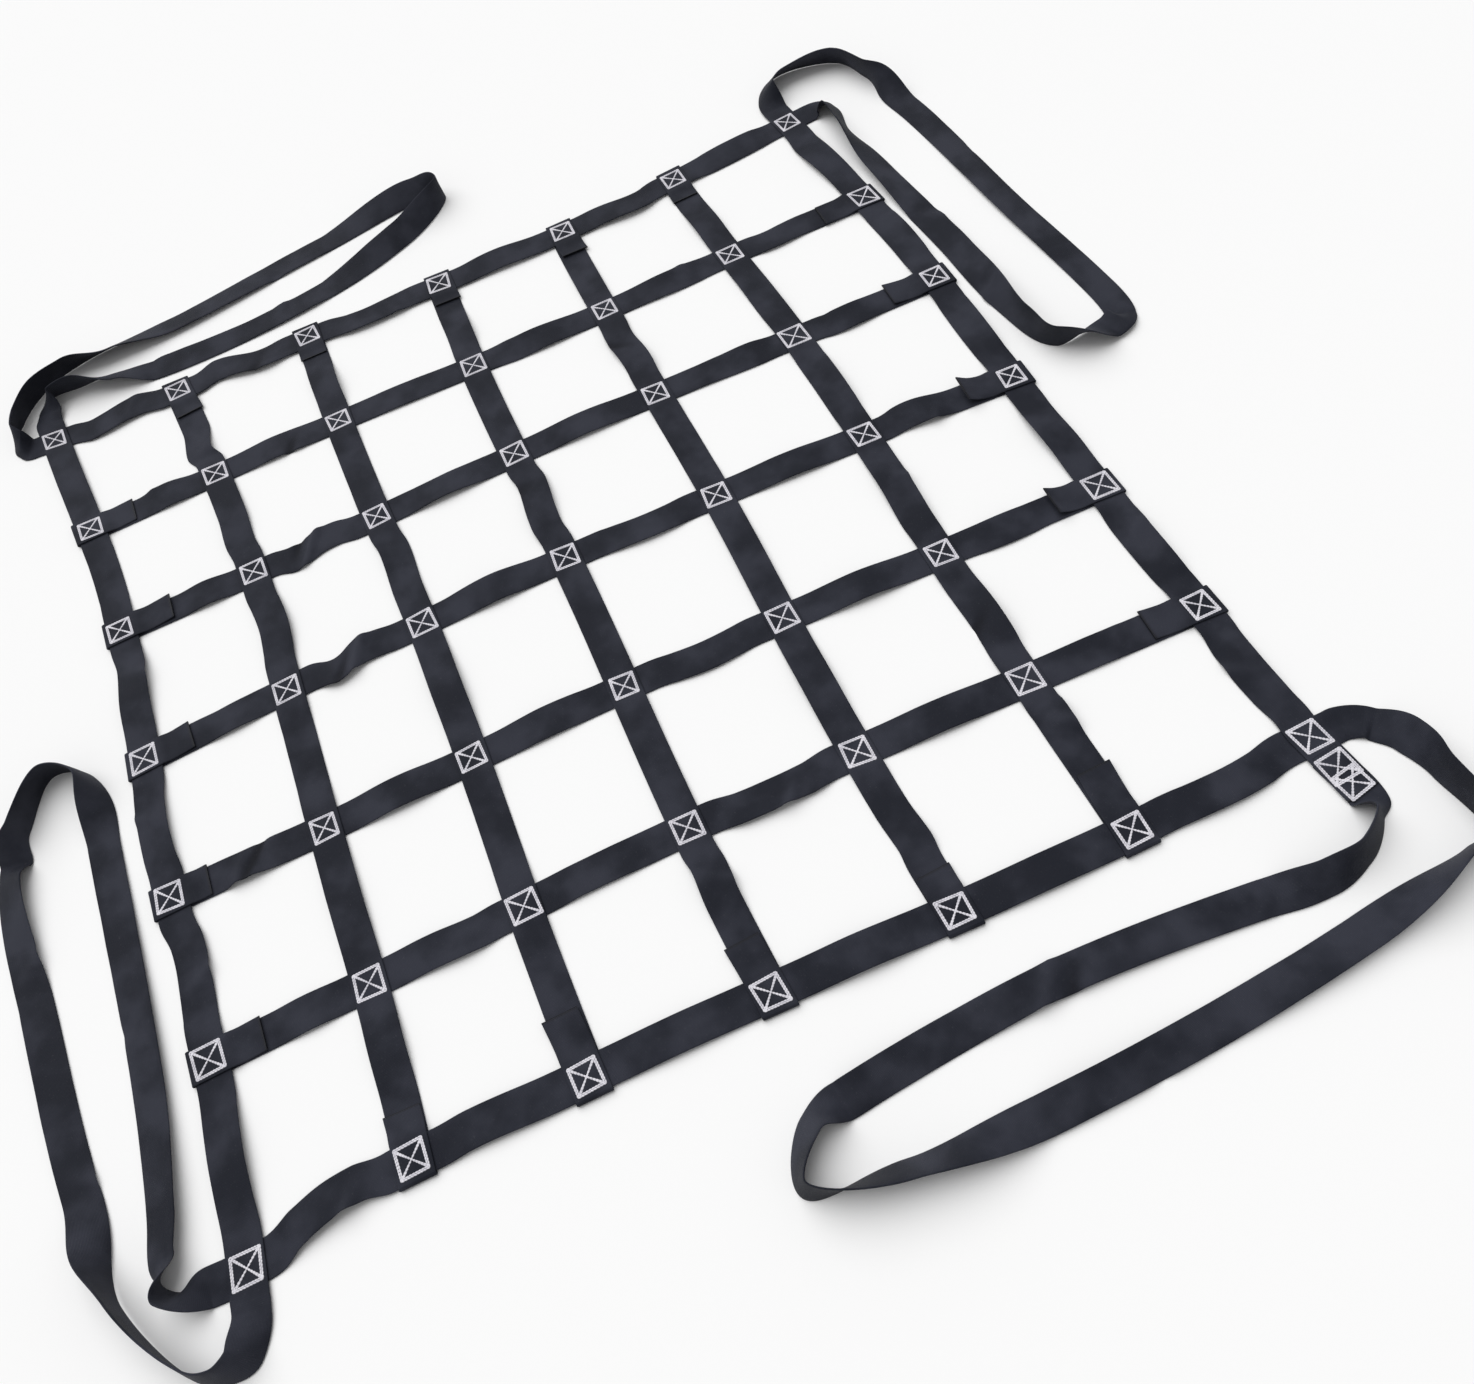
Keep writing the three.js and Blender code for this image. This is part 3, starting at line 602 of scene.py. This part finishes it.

# %% [markdown]
# ## Creases
# Webbing that was folded for storage keeps soft creases when it is spread out. A noise texture could crumple
# it all over, but real creases are few and each has its own place, so they are listed in a short table: how
# far along the band one lies, how far it slants from edge to edge, how high it stands, how wide it is, and
# the edge it starts at. A height below zero is a trough.

# %% Creases
CREASE_FULL = 0.004
Crease = namedtuple("Crease", "along slant height wide edge")
CREASES = {name: [Crease(*row) for row in rows] for name, rows in {
    "border_far": (
        (0.185, 0.03, 0.004, 0.011, 1), (0.44, 0.03, -0.0036, 0.009, -1), (0.7, -0.02, 0.0034, 0.01, -1),
    ),
    "row_1": (
        (0.245, 0.03, 0.0036, 0.009, 1), (0.52, 0.026, -0.0042, 0.008, -1), (0.548, 0.03, 0.004, 0.009, 1),
        (1.285, -0.024, 0.0032, 0.01, 1),
    ),
    "row_2": (
        (0.452, 0.036, -0.0046, 0.008, 1), (0.484, 0.04, 0.0046, 0.009, 0), (1.06, 0.02, 0.0032, 0.011, -1),
        (1.42, 0.03, -0.0034, 0.009, 1),
    ),
    "row_3": (
        (0.47, 0.034, -0.0048, 0.008, -1), (0.5, 0.03, 0.0046, 0.009, 0), (0.93, -0.03, 0.0034, 0.011, 1),
        (1.5, 0.026, 0.0036, 0.009, -1),
    ),
    "row_4": (
        (0.222, 0.024, 0.0048, 0.009, -1), (0.246, 0.034, -0.004, 0.008, 0),
        (1.046, 0.034, -0.0042, 0.009, 1), (1.075, 0.034, 0.0038, 0.009, 1),
    ),
    "row_5": (
        (0.61, -0.026, 0.0034, 0.011, 1), (1, 0.04, 0.004, 0.011, -1), (1.04, 0.04, -0.0034, 0.009, -1),
        (1.5, 0.024, 0.0038, 0.009, 1),
    ),
    "border_near": (
        (0.19, 0.04, 0.0046, 0.011, -1), (0.25, 0.03, -0.0036, 0.009, 1), (1.33, 0.03, 0.0034, 0.011, 1),
    ),
    "border_left": (
        (0.42, -0.03, 0.004, 0.011, -1), (0.7, 0.024, 0.0036, 0.01, 1), (0.975, 0.02, 0.0034, 0.009, -1),
    ),
    "column_1": (
        (1.15, 0.026, 0.0044, 0.01, 1), (1.182, 0.026, -0.0036, 0.008, 1), (1.475, 0.11, 0.0046, 0.011, -1),
    ),
    "column_2": ((0.93, -0.026, 0.0036, 0.01, 1), (1.455, 0.03, 0.0036, 0.009, -1)),
    "column_3": (
        (0.315, 0.03, 0.0038, 0.01, -1), (0.945, 0.03, 0.0042, 0.009, 1), (1.08, -0.03, -0.0038, 0.009, 1),
    ),
    "column_4": (
        (0.17, 0.026, 0.0038, 0.01, 1), (1.18, -0.03, 0.0036, 0.01, -1), (1.27, 0.024, -0.0038, 0.009, 1),
    ),
    "column_5": (
        (0.345, 0.03, 0.0042, 0.01, -1), (0.536, -0.036, -0.0042, 0.009, 1),
        (0.836, 0.04, 0.0046, 0.009, -1), (1.24, 0.024, 0.0034, 0.011, 1),
    ),
    "border_right": (
        (0.215, 0.04, 0.0046, 0.012, 1), (0.48, -0.03, 0.0036, 0.011, -1), (1.13, 0.03, 0.0036, 0.011, 1),
    ),
    "loop_far_left": ((0.52, 0.04, 0.0036, 0.012, 1), (1.3, -0.03, 0.0036, 0.012, -1)),
    "loop_far_right": (
        (0.42, 0.04, 0.0038, 0.012, 1), (0.64, -0.03, 0.0034, 0.011, -1), (1.42, 0.04, 0.0036, 0.012, 1),
    ),
    "loop_near_left": (
        (0.44, 0.036, 0.0036, 0.012, -1), (1.25, -0.04, 0.0038, 0.012, 1), (1.56, 0.03, 0.0034, 0.012, 1),
    ),
    "loop_near_right": (
        (0.56, 0.03, -0.0036, 0.009, 1), (0.6, 0.034, 0.0042, 0.011, 0), (1.48, -0.04, 0.0038, 0.013, 1),
    ),
}.items()}


def crease_height(creases, run, share):
    height = 0
    for crease in creases:
        away = (run - crease.along - crease.slant * share / 2) / crease.wide
        strength = (1 + crease.edge * share) / 2 if crease.edge else 1
        height += crease.height * strength * math.exp(-away * away)
    return height


print("creases:", sum(map(len, CREASES.values())))

# %% [markdown]
# ## Bending a band
# A band starts as a flat grid, one column of faces for each short step along it. Extruding the grid gives
# it its thickness, and a bevel along the four long edges makes the round selvedges of woven webbing. Then
# every vertex is carried to its station: a middle point, the way across the band and the way out of its
# face. A Curve modifier could bend the flat band too, but it can't fold the ends back or stand a turn on
# its edge so exactly.

# %% Band helper
STEP = 0.005
BAND_FACES = 6
SELVEDGE = 0.0011
CUP = 0.0004
RIPPLE = 0.0006
RIPPLE_SIZE = 0.045
BOX_ROOM = 0.048
EDGE_SHARE = 0.49
SAME_STATION = 0.1
SHARP_FROM = math.radians(55)
Station = namedtuple("Station", "middle side normal run loose")


def is_selvedge(edge, steps):
    start, stop = (v.co for v in edge.verts)
    at_edge = min(abs(start.y), abs(stop.y)) > WIDTH * EDGE_SHARE
    return at_edge and abs(start.x - stop.x) > SAME_STATION / steps


def flat_band(steps):
    band = bmesh.new()
    bmesh.ops.create_grid(band, x_segments=steps, y_segments=BAND_FACES, size=0.5)
    raised = bmesh.ops.extrude_face_region(band, geom=band.faces[:])["geom"]
    lifted = [v for v in raised if isinstance(v, bmesh.types.BMVert)]
    bmesh.ops.translate(band, vec=(0, 0, THICK), verts=lifted)
    bmesh.ops.translate(band, vec=(0, 0, -THICK / 2), verts=band.verts[:])
    bmesh.ops.scale(band, vec=(1, WIDTH, 1), verts=band.verts[:])
    bmesh.ops.recalc_face_normals(band, faces=band.faces[:])
    edges = [edge for edge in band.edges if is_selvedge(edge, steps)]
    bmesh.ops.bevel(band, geom=edges, offset=SELVEDGE, offset_type="OFFSET", segments=3, profile=0.5,
                    affect="EDGES", material=-1)
    return band


def nearest_box(point):
    flat = Vector((point.x, point.y, 0))
    box = min(boxes, key=lambda b: (b.middle - flat).length_squared)
    away = flat - box.middle
    turn = box.along.x * box.over.y - box.along.y * box.over.x
    return Vector((
        (away.x * box.over.y - away.y * box.over.x) / turn,
        (box.along.x * away.y - box.along.y * away.x) / turn,
        float(away.length < BOX_ROOM),
    ))


def bend_band(name, stations, creases, free_ends):
    steps = len(stations) - 1
    band = flat_band(steps)
    place = band.loops.layers.uv.new("band")
    box_place = band.verts.layers.float_vector.new("box_place")
    cut_end = band.verts.layers.float.new("cut_end")
    creased = band.verts.layers.float.new("creased")
    for face in band.faces:
        face.smooth = True
        for corner in face.loops:
            station = stations[round((corner.vert.co.x + 0.5) * steps)]
            corner[place].uv = (corner.vert.co.y, station.run)
    seed = sum(map(ord, name))
    for v in band.verts:
        k = round((v.co.x + 0.5) * steps)
        station = stations[k]
        share = 2 * v.co.y / WIDTH
        uneven = noise.noise(Vector((station.run / RIPPLE_SIZE, share, seed)))
        crease = crease_height(creases, station.run, share)
        # The crease height also drives the finish: painted shade in troughs and a painted highlight on
        # ridges.
        v[creased] = station.loose * crease / CREASE_FULL
        out = v.co.z + station.loose * (CUP * (share ** 2 - 0.5) + RIPPLE * uneven + crease)
        v[cut_end] = float((k == 0 and 0 in free_ends) or (k == steps and 1 in free_ends))
        v.co = station.middle + station.side * v.co.y + station.normal * out
        v.co.z = max(0, v.co.z)
        v[box_place] = nearest_box(v.co)
    mesh = close_mesh(band, name)
    mesh.set_sharp_from_angle(angle=SHARP_FROM)
    mesh.materials.append(webbing)
    return add_object(name, mesh)


def lay_band(node, stations, free_ends):
    piece = bend_band(node + "_webbing", stations, CREASES[node], free_ends)
    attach(piece, "root")
    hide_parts(node)
    print(piece.name, "length", round(stations[-1].run, 3), "faces", len(piece.data.polygons))


# %% [markdown]
# ## Sections of a strap
# A strap is described from the side as a row of sections: how far along, how high, how far it strays
# sideways. Rows pass under columns, every strap passes under the border that it ends at, and its end folds
# back over the border and lies on the strap again. The folded ends are drawn as a smooth curve through a
# few points.

# %% Section helpers
FOLD_CLEAR = 0.0008
FOLD_STEPS = 4
TAIL_LEVEL = 0.004
TAIL_SEAT = 0.018
TAIL_FREE = 0.008
MIDWAY_LIFT = 0.25
SHORTEST = 1e-6
BORDER_END = 0.035
SPLICE_END = 0.094

Tail = namedtuple("Tail", "length drift lift")
TAILS = {name: [Tail(*end) for end in ends] for name, ends in {
    "row_1": ((0.056, 0.004, 0), (0.061, -0.002, 0.001)),
    "row_2": ((0.064, 0.006, 0.002), (0.061, 0.005, 0.003)),
    "row_3": ((0.053, 0.004, 0.001), (0.059, 0.005, 0.014)),
    "row_4": ((0.034, 0.003, 0), (0.053, 0.006, 0.01)),
    "row_5": ((0.052, 0.002, 0.001), (0.055, 0.004, 0.002)),
    "column_1": ((0.038, 0.002, 0), (0.04, -0.004, 0.001)),
    "column_2": ((0.063, 0.005, 0.003), (0.028, 0.002, 0)),
    "column_3": ((0.052, 0.004, 0.002), (0.027, -0.003, 0.001)),
    "column_4": ((0.036, -0.002, 0), (0.038, -0.005, 0.002)),
    "column_5": ((0.074, -0.005, 0.002), (0.034, 0.002, 0)),
}.items()}
Section = namedtuple("Section", "s z drift lean slant loose", defaults=(0, 0, 0, 0))


def span_on(points, k):
    before = points[k - 1] if k > 0 else 2 * points[0] - points[1]
    after = points[k + 2] if k + 2 < len(points) else 2 * points[-1] - points[-2]
    p0, p1, p2, p3 = before, points[k], points[k + 1], after
    d0, d1, d2 = (max((b - a).length, SHORTEST) ** 0.5 for a, b in ((p0, p1), (p1, p2), (p2, p3)))
    leave = ((p1 - p0) / d0 - (p2 - p0) / (d0 + d1) + (p2 - p1) / d1) * d1
    arrive = ((p2 - p1) / d1 - (p3 - p1) / (d1 + d2) + (p3 - p2) / d2) * d1
    return p1, leave, 3 * (p2 - p1) - 2 * leave - arrive, 2 * (p1 - p2) + leave + arrive


def curve_point(points, k, share):
    a, b, c, d = span_on(points, k)
    return a + b * share + c * share ** 2 + d * share ** 3


def curve_heading(points, k, share):
    _, b, c, d = span_on(points, k)
    return (b + c * 2 * share + d * 3 * share ** 2).normalized()


def layers_of(strap):
    tailed = strap.name in TAILS
    inner = 0 if strap in ROWS and tailed else LAYER
    corner = LAYER if strap in COLUMNS and not tailed else 0
    return [corner, *[inner] * (CELLS - 1), corner]


def lie_at(lie, share):
    return ease(min(share, 1 - share), 0, LIE_FADE) * ease(1 - abs(share - lie.at) / lie.reach)


def cell_sections(start, stop, low, high, arch, lies):
    steps = math.ceil((stop - start) / STEP)
    for k in range(steps + 1):
        share = k / steps
        swell = math.sin(math.pi * share) ** 2
        drift = sum(lie.sway * lie_at(lie, share) for lie in lies)
        lean = math.radians(sum(lie.lean * lie_at(lie, share) for lie in lies))
        rise = (WIDTH * abs(math.sin(lean)) + THICK * math.cos(lean)) / 2
        middle = low + (high - low) * ease(share) + arch * swell + THICK / 2
        yield Section(start + (stop - start) * share, max(middle, rise), drift, lean, 0, ease(swell))


def run_sections(strap, places):
    layers = layers_of(strap)
    ends = TAILS.get(strap.name)
    clear = [WIDTH / 2 + end.length + TAIL_FREE for end in ends] if ends else [SEWN, SEWN]
    sections = []
    for k in range(CELLS):
        start = places[k] + (clear[0] if k == 0 else SEWN)
        stop = places[k + 1] - (clear[1] if k == CELLS - 1 else SEWN)
        swing = math.sin(strap.phase + UNEVEN * k)
        share = ROW_ARCH + (1 - ROW_ARCH) * swing if strap in ROWS else swing
        if sections:
            sections += flat_sections(sections[-1].s, start, layers[k] + THICK / 2)
        lies = [lie for lie in LIES[strap.name] if lie.cell == k]
        sections += cell_sections(start, stop, layers[k], layers[k + 1], strap.hump * share, lies)
    return sections


def flat_sections(start, stop, z):
    steps = math.ceil(abs(stop - start) / STEP)
    return [Section(start + (stop - start) * k / steps, z) for k in range(1, steps)]


def slant_at(strap, border):
    along, on_border = crossing(strap, border) if strap in ROWS else crossing(border, strap)[::-1]
    heading, edge = heading_on(strap, along), heading_on(border, on_border)
    return edge.dot(heading) / edge.dot(UP.cross(heading))


def tail_sections(place, tail, way, slant):
    top, seated, edge = 2 * LAYER + THICK / 2, LAYER + THICK / 2, WIDTH / 2 * math.hypot(1, slant)
    corners = [
        (edge + tail.length, seated + tail.lift),
        (edge + (tail.length + TAIL_SEAT) / 2, seated + tail.lift * MIDWAY_LIFT),
        (edge + TAIL_SEAT, seated),
        (edge + TAIL_LEVEL, top),
        *((reach, top) for reach in (edge, 0, -edge)),
    ]
    for k in range(FOLD_STEPS + 1):
        angle = math.pi * k / FOLD_STEPS
        corners.append((-edge - FOLD_CLEAR - LAYER * math.sin(angle), seated + LAYER * math.cos(angle)))
    points = [Vector((reach, z, 0)) for reach, z in corners]
    sections = []
    for k in range(len(points) - 1):
        pieces = max(2, math.ceil((points[k + 1] - points[k]).length / STEP))
        for j in range(pieces):
            reach, z, _ = curve_point(points, k, j / pieces)
            share = max(0, reach + edge) / (tail.length + 2 * edge)
            slanted = slant * (1 - ease(reach, edge + TAIL_SEAT, edge + tail.length))
            sections.append(Section(place + way * reach, z, tail.drift * share ** 2, slant=slanted))
    return sections


def strap_stations(strap, sections):
    sides, middles = [], []
    for section in sections:
        heading = heading_on(strap, section.s)
        middle = point_on(strap, section.s) + UP.cross(heading) * section.drift
        middles.append(Vector((middle.x, middle.y, section.z)))
        sides.append(UP.cross(heading) + heading * section.slant)
    stations, run = [], 0
    for k, middle in enumerate(middles):
        run += (middle - middles[k - 1]).length if k else 0
        ahead = (middles[min(k + 1, len(middles) - 1)] - middles[max(k - 1, 0)]).normalized()
        level, square = sides[k], ahead.cross(sides[k]).normalized()
        turn, rise = math.cos(sections[k].lean), math.sin(sections[k].lean)
        side, normal = level * turn + square * rise, square * turn - level * rise
        stations.append(Station(middle, side, normal, run, sections[k].loose))
    return stations


print("folded ends:", 2 * len(TAILS))

# %% [markdown]
# ## Border straps
# The four borders are single lengths that end just past the corner, where the loops carry them on. Only the
# near end of the right border is a free cut end: it lies on top of the loop's strap, and the splice is sewn
# through both.

# %% Border straps
def is_spliced(border, end):
    return end < 0 and PULLED.get(border, UNPULLED).swing != 0


for name in ("border_far", "border_near", "border_left", "border_right"):
    strap = STRAPS[name]
    places = places_of(strap)
    layers = layers_of(strap)
    spliced = is_spliced(name, -1)
    first = places[0] - (SPLICE_END if spliced else BORDER_END)
    last = places[-1] + BORDER_END
    run = run_sections(strap, places)
    start = Section(first, layers[0] + THICK / 2)
    stop = Section(last, layers[-1] + THICK / 2)
    lead_in = flat_sections(first, run[0].s, start.z)
    lead_out = flat_sections(run[-1].s, last, stop.z)
    stations = strap_stations(strap, [start, *lead_in, *run, *lead_out, stop])
    lay_band(name, stations, (0,) if spliced else ())

# %% [markdown]
# ## Inner straps
# Five rows and five columns fill the net. Both ends of each go under a border, fold round its outer edge
# and come back on top, and each tail is cut to its own length, a little askew.

# %% Inner straps
for name in TAILS:
    strap = STRAPS[name]
    places = places_of(strap)
    first, last = TAILS[name]
    start, finish = (COLUMNS[0], COLUMNS[-1]) if strap in ROWS else (ROWS[-1], ROWS[0])
    head = tail_sections(places[0], first, 1, slant_at(strap, start))
    run = run_sections(strap, places)
    foot = tail_sections(places[-1], last, -1, slant_at(strap, finish))[::-1]
    under_first = flat_sections(head[-1].s, run[0].s, THICK / 2)
    under_last = flat_sections(run[-1].s, foot[0].s, THICK / 2)
    stations = strap_stations(strap, [*head, *under_first, *run, *under_last, *foot])
    lay_band(name, stations, (0, 1))

# %% [markdown]
# ## Lifting loops
# A loop carries one border strap out past the corner, turns, comes back along itself and runs into the next
# border. Webbing bends easily over its flat, not within it, so the long runs lie flat and the turns stand
# on edge. Each loop is a smooth line on the ground through a few bends, in the frame of its corner, with a
# roll about its own length at every bend: 0 and 180 lie flat, and 90 stands on edge. A few bends have a
# lift too.

# %% Loop tables
SPLICE_START = 0.033
LEAD_IN = 0.012
SPLICE_RUN = 0.070
STEPS_PER_BEND = 24
LOOSEN = 4
Bend = namedtuple("Bend", "along out roll lift", defaults=(0,))
Loop = namedtuple("Loop", "turn start start_end finish finish_end bends")

LOOPS = {name: Loop(*ends, [Bend(*row) for row in rows]) for name, (ends, rows) in {
    "loop_far_left": ((0, "border_left", 1, "border_far", -1), (
        (0, 0.07, -10), (0.01, 0.1, -58), (0.058, 0.104, -70), (0.14, 0.086, -30), (0.23, 0.07, 6),
        (0.508, 0.084, -4), (0.726, 0.142, 34), (0.834, 0.214, 86), (0.78, 0.241, 140), (0.558, 0.215, 182),
        (0.269, 0.17, 190), (0.139, 0.164, 216), (0.052, 0.158, 248), (-0.014, 0.124, 260),
        (-0.048, 0.076, 256), (-0.064, 0.036, 248), (-0.058, 0.011, 222),
    )),
    "loop_far_right": ((-90, "border_far", 1, "border_right", 1), (
        (-0.002, 0.068, -14), (0.018, 0.082, -46), (0.084, 0.077, -58), (0.214, 0.086, -20),
        (0.473, 0.106, 12), (0.694, 0.108, 78), (0.756, 0.132, 98), (0.765, 0.242, 192, 0.006),
        (0.742, 0.258, 178), (0.41, 0.236, 186), (0.084, 0.212, 178), (-0.034, 0.181, 74),
        (-0.104, 0.151, 66), (-0.126, 0.046, 48), (-0.094, 0, 50),
    )),
    "loop_near_left": ((90, "border_near", -1, "border_left", -1), (
        (0.005, 0.09, 72), (0.055, 0.096, 154), (0.11, 0.088, 158), (0.27, 0.078, 168), (0.652, 0.083, 178),
        (0.78, 0.085, 260), (0.812, 0.14, 262), (0.737, 0.192, 275), (0.662, 0.222, 385),
        (0.408, 0.209, 357), (0.18, 0.188, 357), (0.024, 0.154, 262, 0.004), (-0.089, 0.079, 256),
        (-0.104, 0.046, 250), (-0.094, 0.016, 230),
    )),
    "loop_near_right": ((180, "border_right", -1, "border_near", 1), (
        (-0.002, 0.13, -66), (0.04, 0.162, -60), (0.1, 0.17, -36), (0.181, 0.156, 2), (0.466, 0.132, 8),
        (0.733, 0.147, -14), (0.804, 0.158, 50), (0.844, 0.22, 73), (0.72, 0.253, 124),
        (0.483, 0.266, 192, 0.004), (0.101, 0.244, 162), (-0.072, 0.214, 100), (-0.108, 0.204, 90),
        (-0.106, 0.112, 104), (-0.102, 0.056, 142), (-0.076, 0.014, 184),
    )),
}.items()}
print("bends:", {name: len(loop.bends) for name, loop in LOOPS.items()})

# %% [markdown]
# Both ends of a loop are led off in line with their borders, so that the strap seems to run on. From bend
# to bend the line is a smooth curve, and the roll eases over. The middle of the band is raised as far as
# its roll asks, which keeps the lower edge on the ground.

# %% Lifting loops
def lead(corner, border, end, roll, spliced):
    strap = STRAPS[border]
    which = 0 if end < 0 else -1
    place, layer = places_of(strap)[which], layers_of(strap)[which]
    heading = heading_on(strap, place + end * BORDER_END) * end
    reach = SPLICE_START if spliced else BORDER_END
    near = point_on(strap, place + end * BORDER_END) + heading * (reach - BORDER_END)
    far = near + heading * (SPLICE_RUN if spliced else LEAD_IN)
    to_corner = corner.inverted()
    return [Bend(*(to_corner @ point).xy, roll, 0 if spliced else layer) for point in (near, far)]


def loop_stations(corner, route):
    plan = [Vector((bend.along, bend.out, 0)) for bend in route]
    turn = corner.to_3x3()
    stations, run = [], 0
    for k in range(STEPS_PER_BEND * (len(route) - 1) + 1):
        at = min(k // STEPS_PER_BEND, len(route) - 2)
        share = k / STEPS_PER_BEND - at
        here, there, part = route[at], route[at + 1], ease(share)
        roll = math.radians(here.roll + (there.roll - here.roll) * part)
        lift = here.lift + (there.lift - here.lift) * part
        ahead = curve_heading(plan, at, share)
        side = UP.cross(ahead) * math.cos(roll) + UP * math.sin(roll)
        middle = curve_point(plan, at, share)
        middle.z = lift + (WIDTH * abs(math.sin(roll)) + THICK * abs(math.cos(roll))) / 2
        middle = corner @ middle
        run += (middle - stations[-1].middle).length if stations else 0
        stations.append(Station(middle, turn @ side, turn @ ahead.cross(side), run, min(1, LOOSEN * run)))
    return stations


for name, loop in LOOPS.items():
    pair = [STRAPS[loop.start], STRAPS[loop.finish]]
    row, column = sorted(pair, key=lambda strap: strap in COLUMNS)
    along_row, along_column = crossing(row, column)
    turn = Matrix.Rotation(math.radians(loop.turn), 4, "Z")
    corner = Matrix.Translation((along_row, along_column, 0)) @ turn
    spliced = is_spliced(loop.start, loop.start_end)
    flat = 180 * round(loop.bends[-1].roll / 180)
    route = lead(corner, loop.start, loop.start_end, 0, spliced) + loop.bends
    route += lead(corner, loop.finish, loop.finish_end, flat, False)[::-1]
    lay_band(name, loop_stations(corner, route), (0,) if spliced else ())

# %% [markdown]
# ## Stitching
# Every box is sewn twice round, and its cross twice over, with thick white thread. Stitches could be drawn
# in the finish, but then they would be flat. Here each is a small stretched sphere of two dozen faces, sunk
# halfway into the cloth. There are thousands, so each stitch is first only a point that knows its size and
# the way it turns, and Geometry Nodes puts a sphere on every point and joins them into one piece for each
# column strap.

# %% Stitch maker
def build_stitch_maker():
    maker = bpy.data.node_groups.new("stitch_maker", "GeometryNodeTree")
    for way in ("INPUT", "OUTPUT"):
        maker.interface.new_socket("Geometry", in_out=way, socket_type="NodeSocketGeometry")
    ball = add_node(maker, "GeometryNodeMeshUVSphere")
    set_inputs(ball, {"Segments": 6, "Rings": 4, "Radius": 1.0})
    mapped = add_node(maker, "GeometryNodeStoreNamedAttribute", data_type="FLOAT2", domain="CORNER")
    set_inputs(mapped, {"Name": "stitch"})
    feed(maker, mapped.inputs["Geometry"], ball.outputs["Mesh"])
    feed(maker, mapped.inputs["Value"], ball.outputs["UV Map"])
    spread = add_node(maker, "GeometryNodeInstanceOnPoints")
    feed(maker, spread.inputs["Points"], add_node(maker, "NodeGroupInput").outputs["Geometry"])
    feed(maker, spread.inputs["Instance"], mapped.outputs["Geometry"])
    for attribute, socket in (("turn", "Rotation"), ("size", "Scale")):
        stored = add_node(maker, "GeometryNodeInputNamedAttribute", data_type="FLOAT_VECTOR")
        set_inputs(stored, {"Name": attribute})
        feed(maker, spread.inputs[socket], stored.outputs["Attribute"])
    made = spread.outputs["Instances"]
    for kind in ("RealizeInstances", "SetShadeSmooth", "SetMaterial"):
        node = add_node(maker, "GeometryNode" + kind)
        feed(maker, node.inputs["Geometry"], made)
        made = node.outputs["Geometry"]
    set_inputs(node, {"Material": thread})
    feed(maker, add_node(maker, "NodeGroupOutput").inputs["Geometry"], made)
    return maker


stitch_maker = build_stitch_maker()
print("stitch maker:", len(stitch_maker.nodes), "nodes")

# %% [markdown]
# The machine is guided by hand, so no box is quite square or quite in the middle. A seeded random generator
# gives the same unevenness at every run. The thread shows on both faces of the net, so each line is sewn on
# top and again on the underside, where it lies almost flush with the cloth.

# %% Stitching
STITCH = 0.0042
THREAD_WIDTH = 0.0027
THREAD_HEIGHT = 0.0012
OVERLAP = 1.25
SUNK = 0.00005
PROUD_UNDER = 0.0002
ROW_APART = 0.0011
CROSS_APART = 0.0009
ASKEW = 0.05
OFF_MIDDLE = 0.0012
SIZE_SPREAD = 0.0010
WANDER = 0.0012
SEED = 7


def stray(chance, most):
    return Vector((chance.uniform(-most, most), chance.uniform(-most, most)))


def box_lines(half, chance):
    corners = [Vector(ends) for ends in ((-1, -1), (1, -1), (1, 1), (-1, 1))]
    strays = [stray(chance, WANDER) for _ in corners]
    for side in (-ROW_APART, ROW_APART):
        ring = [corner * (half + side) + off for corner, off in zip(corners, strays)]
        yield from zip(ring, ring[1:] + ring[:1])
    for side in (-CROSS_APART, CROSS_APART):
        for flip in (-1, 1):
            ends = Vector((-half, -half * flip)), Vector((half, half * flip))
            shift = (ends[1] - ends[0]).orthogonal().normalized() * side
            yield ends[0] + shift, ends[1] - shift


def sew_box(points, box, chance):
    half = BOX_HALF + chance.uniform(-SIZE_SPREAD, SIZE_SPREAD)
    shift = stray(chance, OFF_MIDDLE)
    twist = Matrix.Rotation(chance.uniform(-ASKEW, ASKEW), 2)
    turn = points.verts.layers.float_vector["turn"]
    size = points.verts.layers.float_vector["size"]
    lines = list(box_lines(half, chance))
    for z in (box.top + SUNK, THREAD_HEIGHT / 2 - PROUD_UNDER):
        for start, stop in lines:
            line = twist @ (stop - start)
            forward = (box.along * line.x + box.over * line.y).normalized()
            count = max(1, round(line.length / STITCH))
            for k in range(count):
                spot = twist @ start + line * ((k + 0.5) / count) + shift
                stitch = points.verts.new(box.middle + box.along * spot.x + box.over * spot.y + UP * z)
                stitch[turn] = Matrix((forward.cross(UP), -UP, forward)).transposed().to_euler()
                stitch[size] = Vector((THREAD_WIDTH, THREAD_HEIGHT, line.length / count * OVERLAP)) / 2


chance = random.Random(SEED)
for column in COLUMNS:
    points = bmesh.new()
    points.verts.layers.float_vector.new("turn")
    points.verts.layers.float_vector.new("size")
    own = [box for box in boxes if box.owner == column.name]
    for box in own:
        sew_box(points, box, chance)
    mesh = close_mesh(points, "stitch_points")
    piece = add_object("stitches_" + column.name, mesh)
    piece.modifiers.new("stitches", "NODES").node_group = stitch_maker
    joined = piece.evaluated_get(bpy.context.evaluated_depsgraph_get())
    piece.data = bpy.data.meshes.new_from_object(joined)
    piece.modifiers.clear()
    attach(piece, "root")
    print(piece.name, "boxes", len(own), "stitches", len(mesh.vertices), "faces", len(piece.data.polygons))
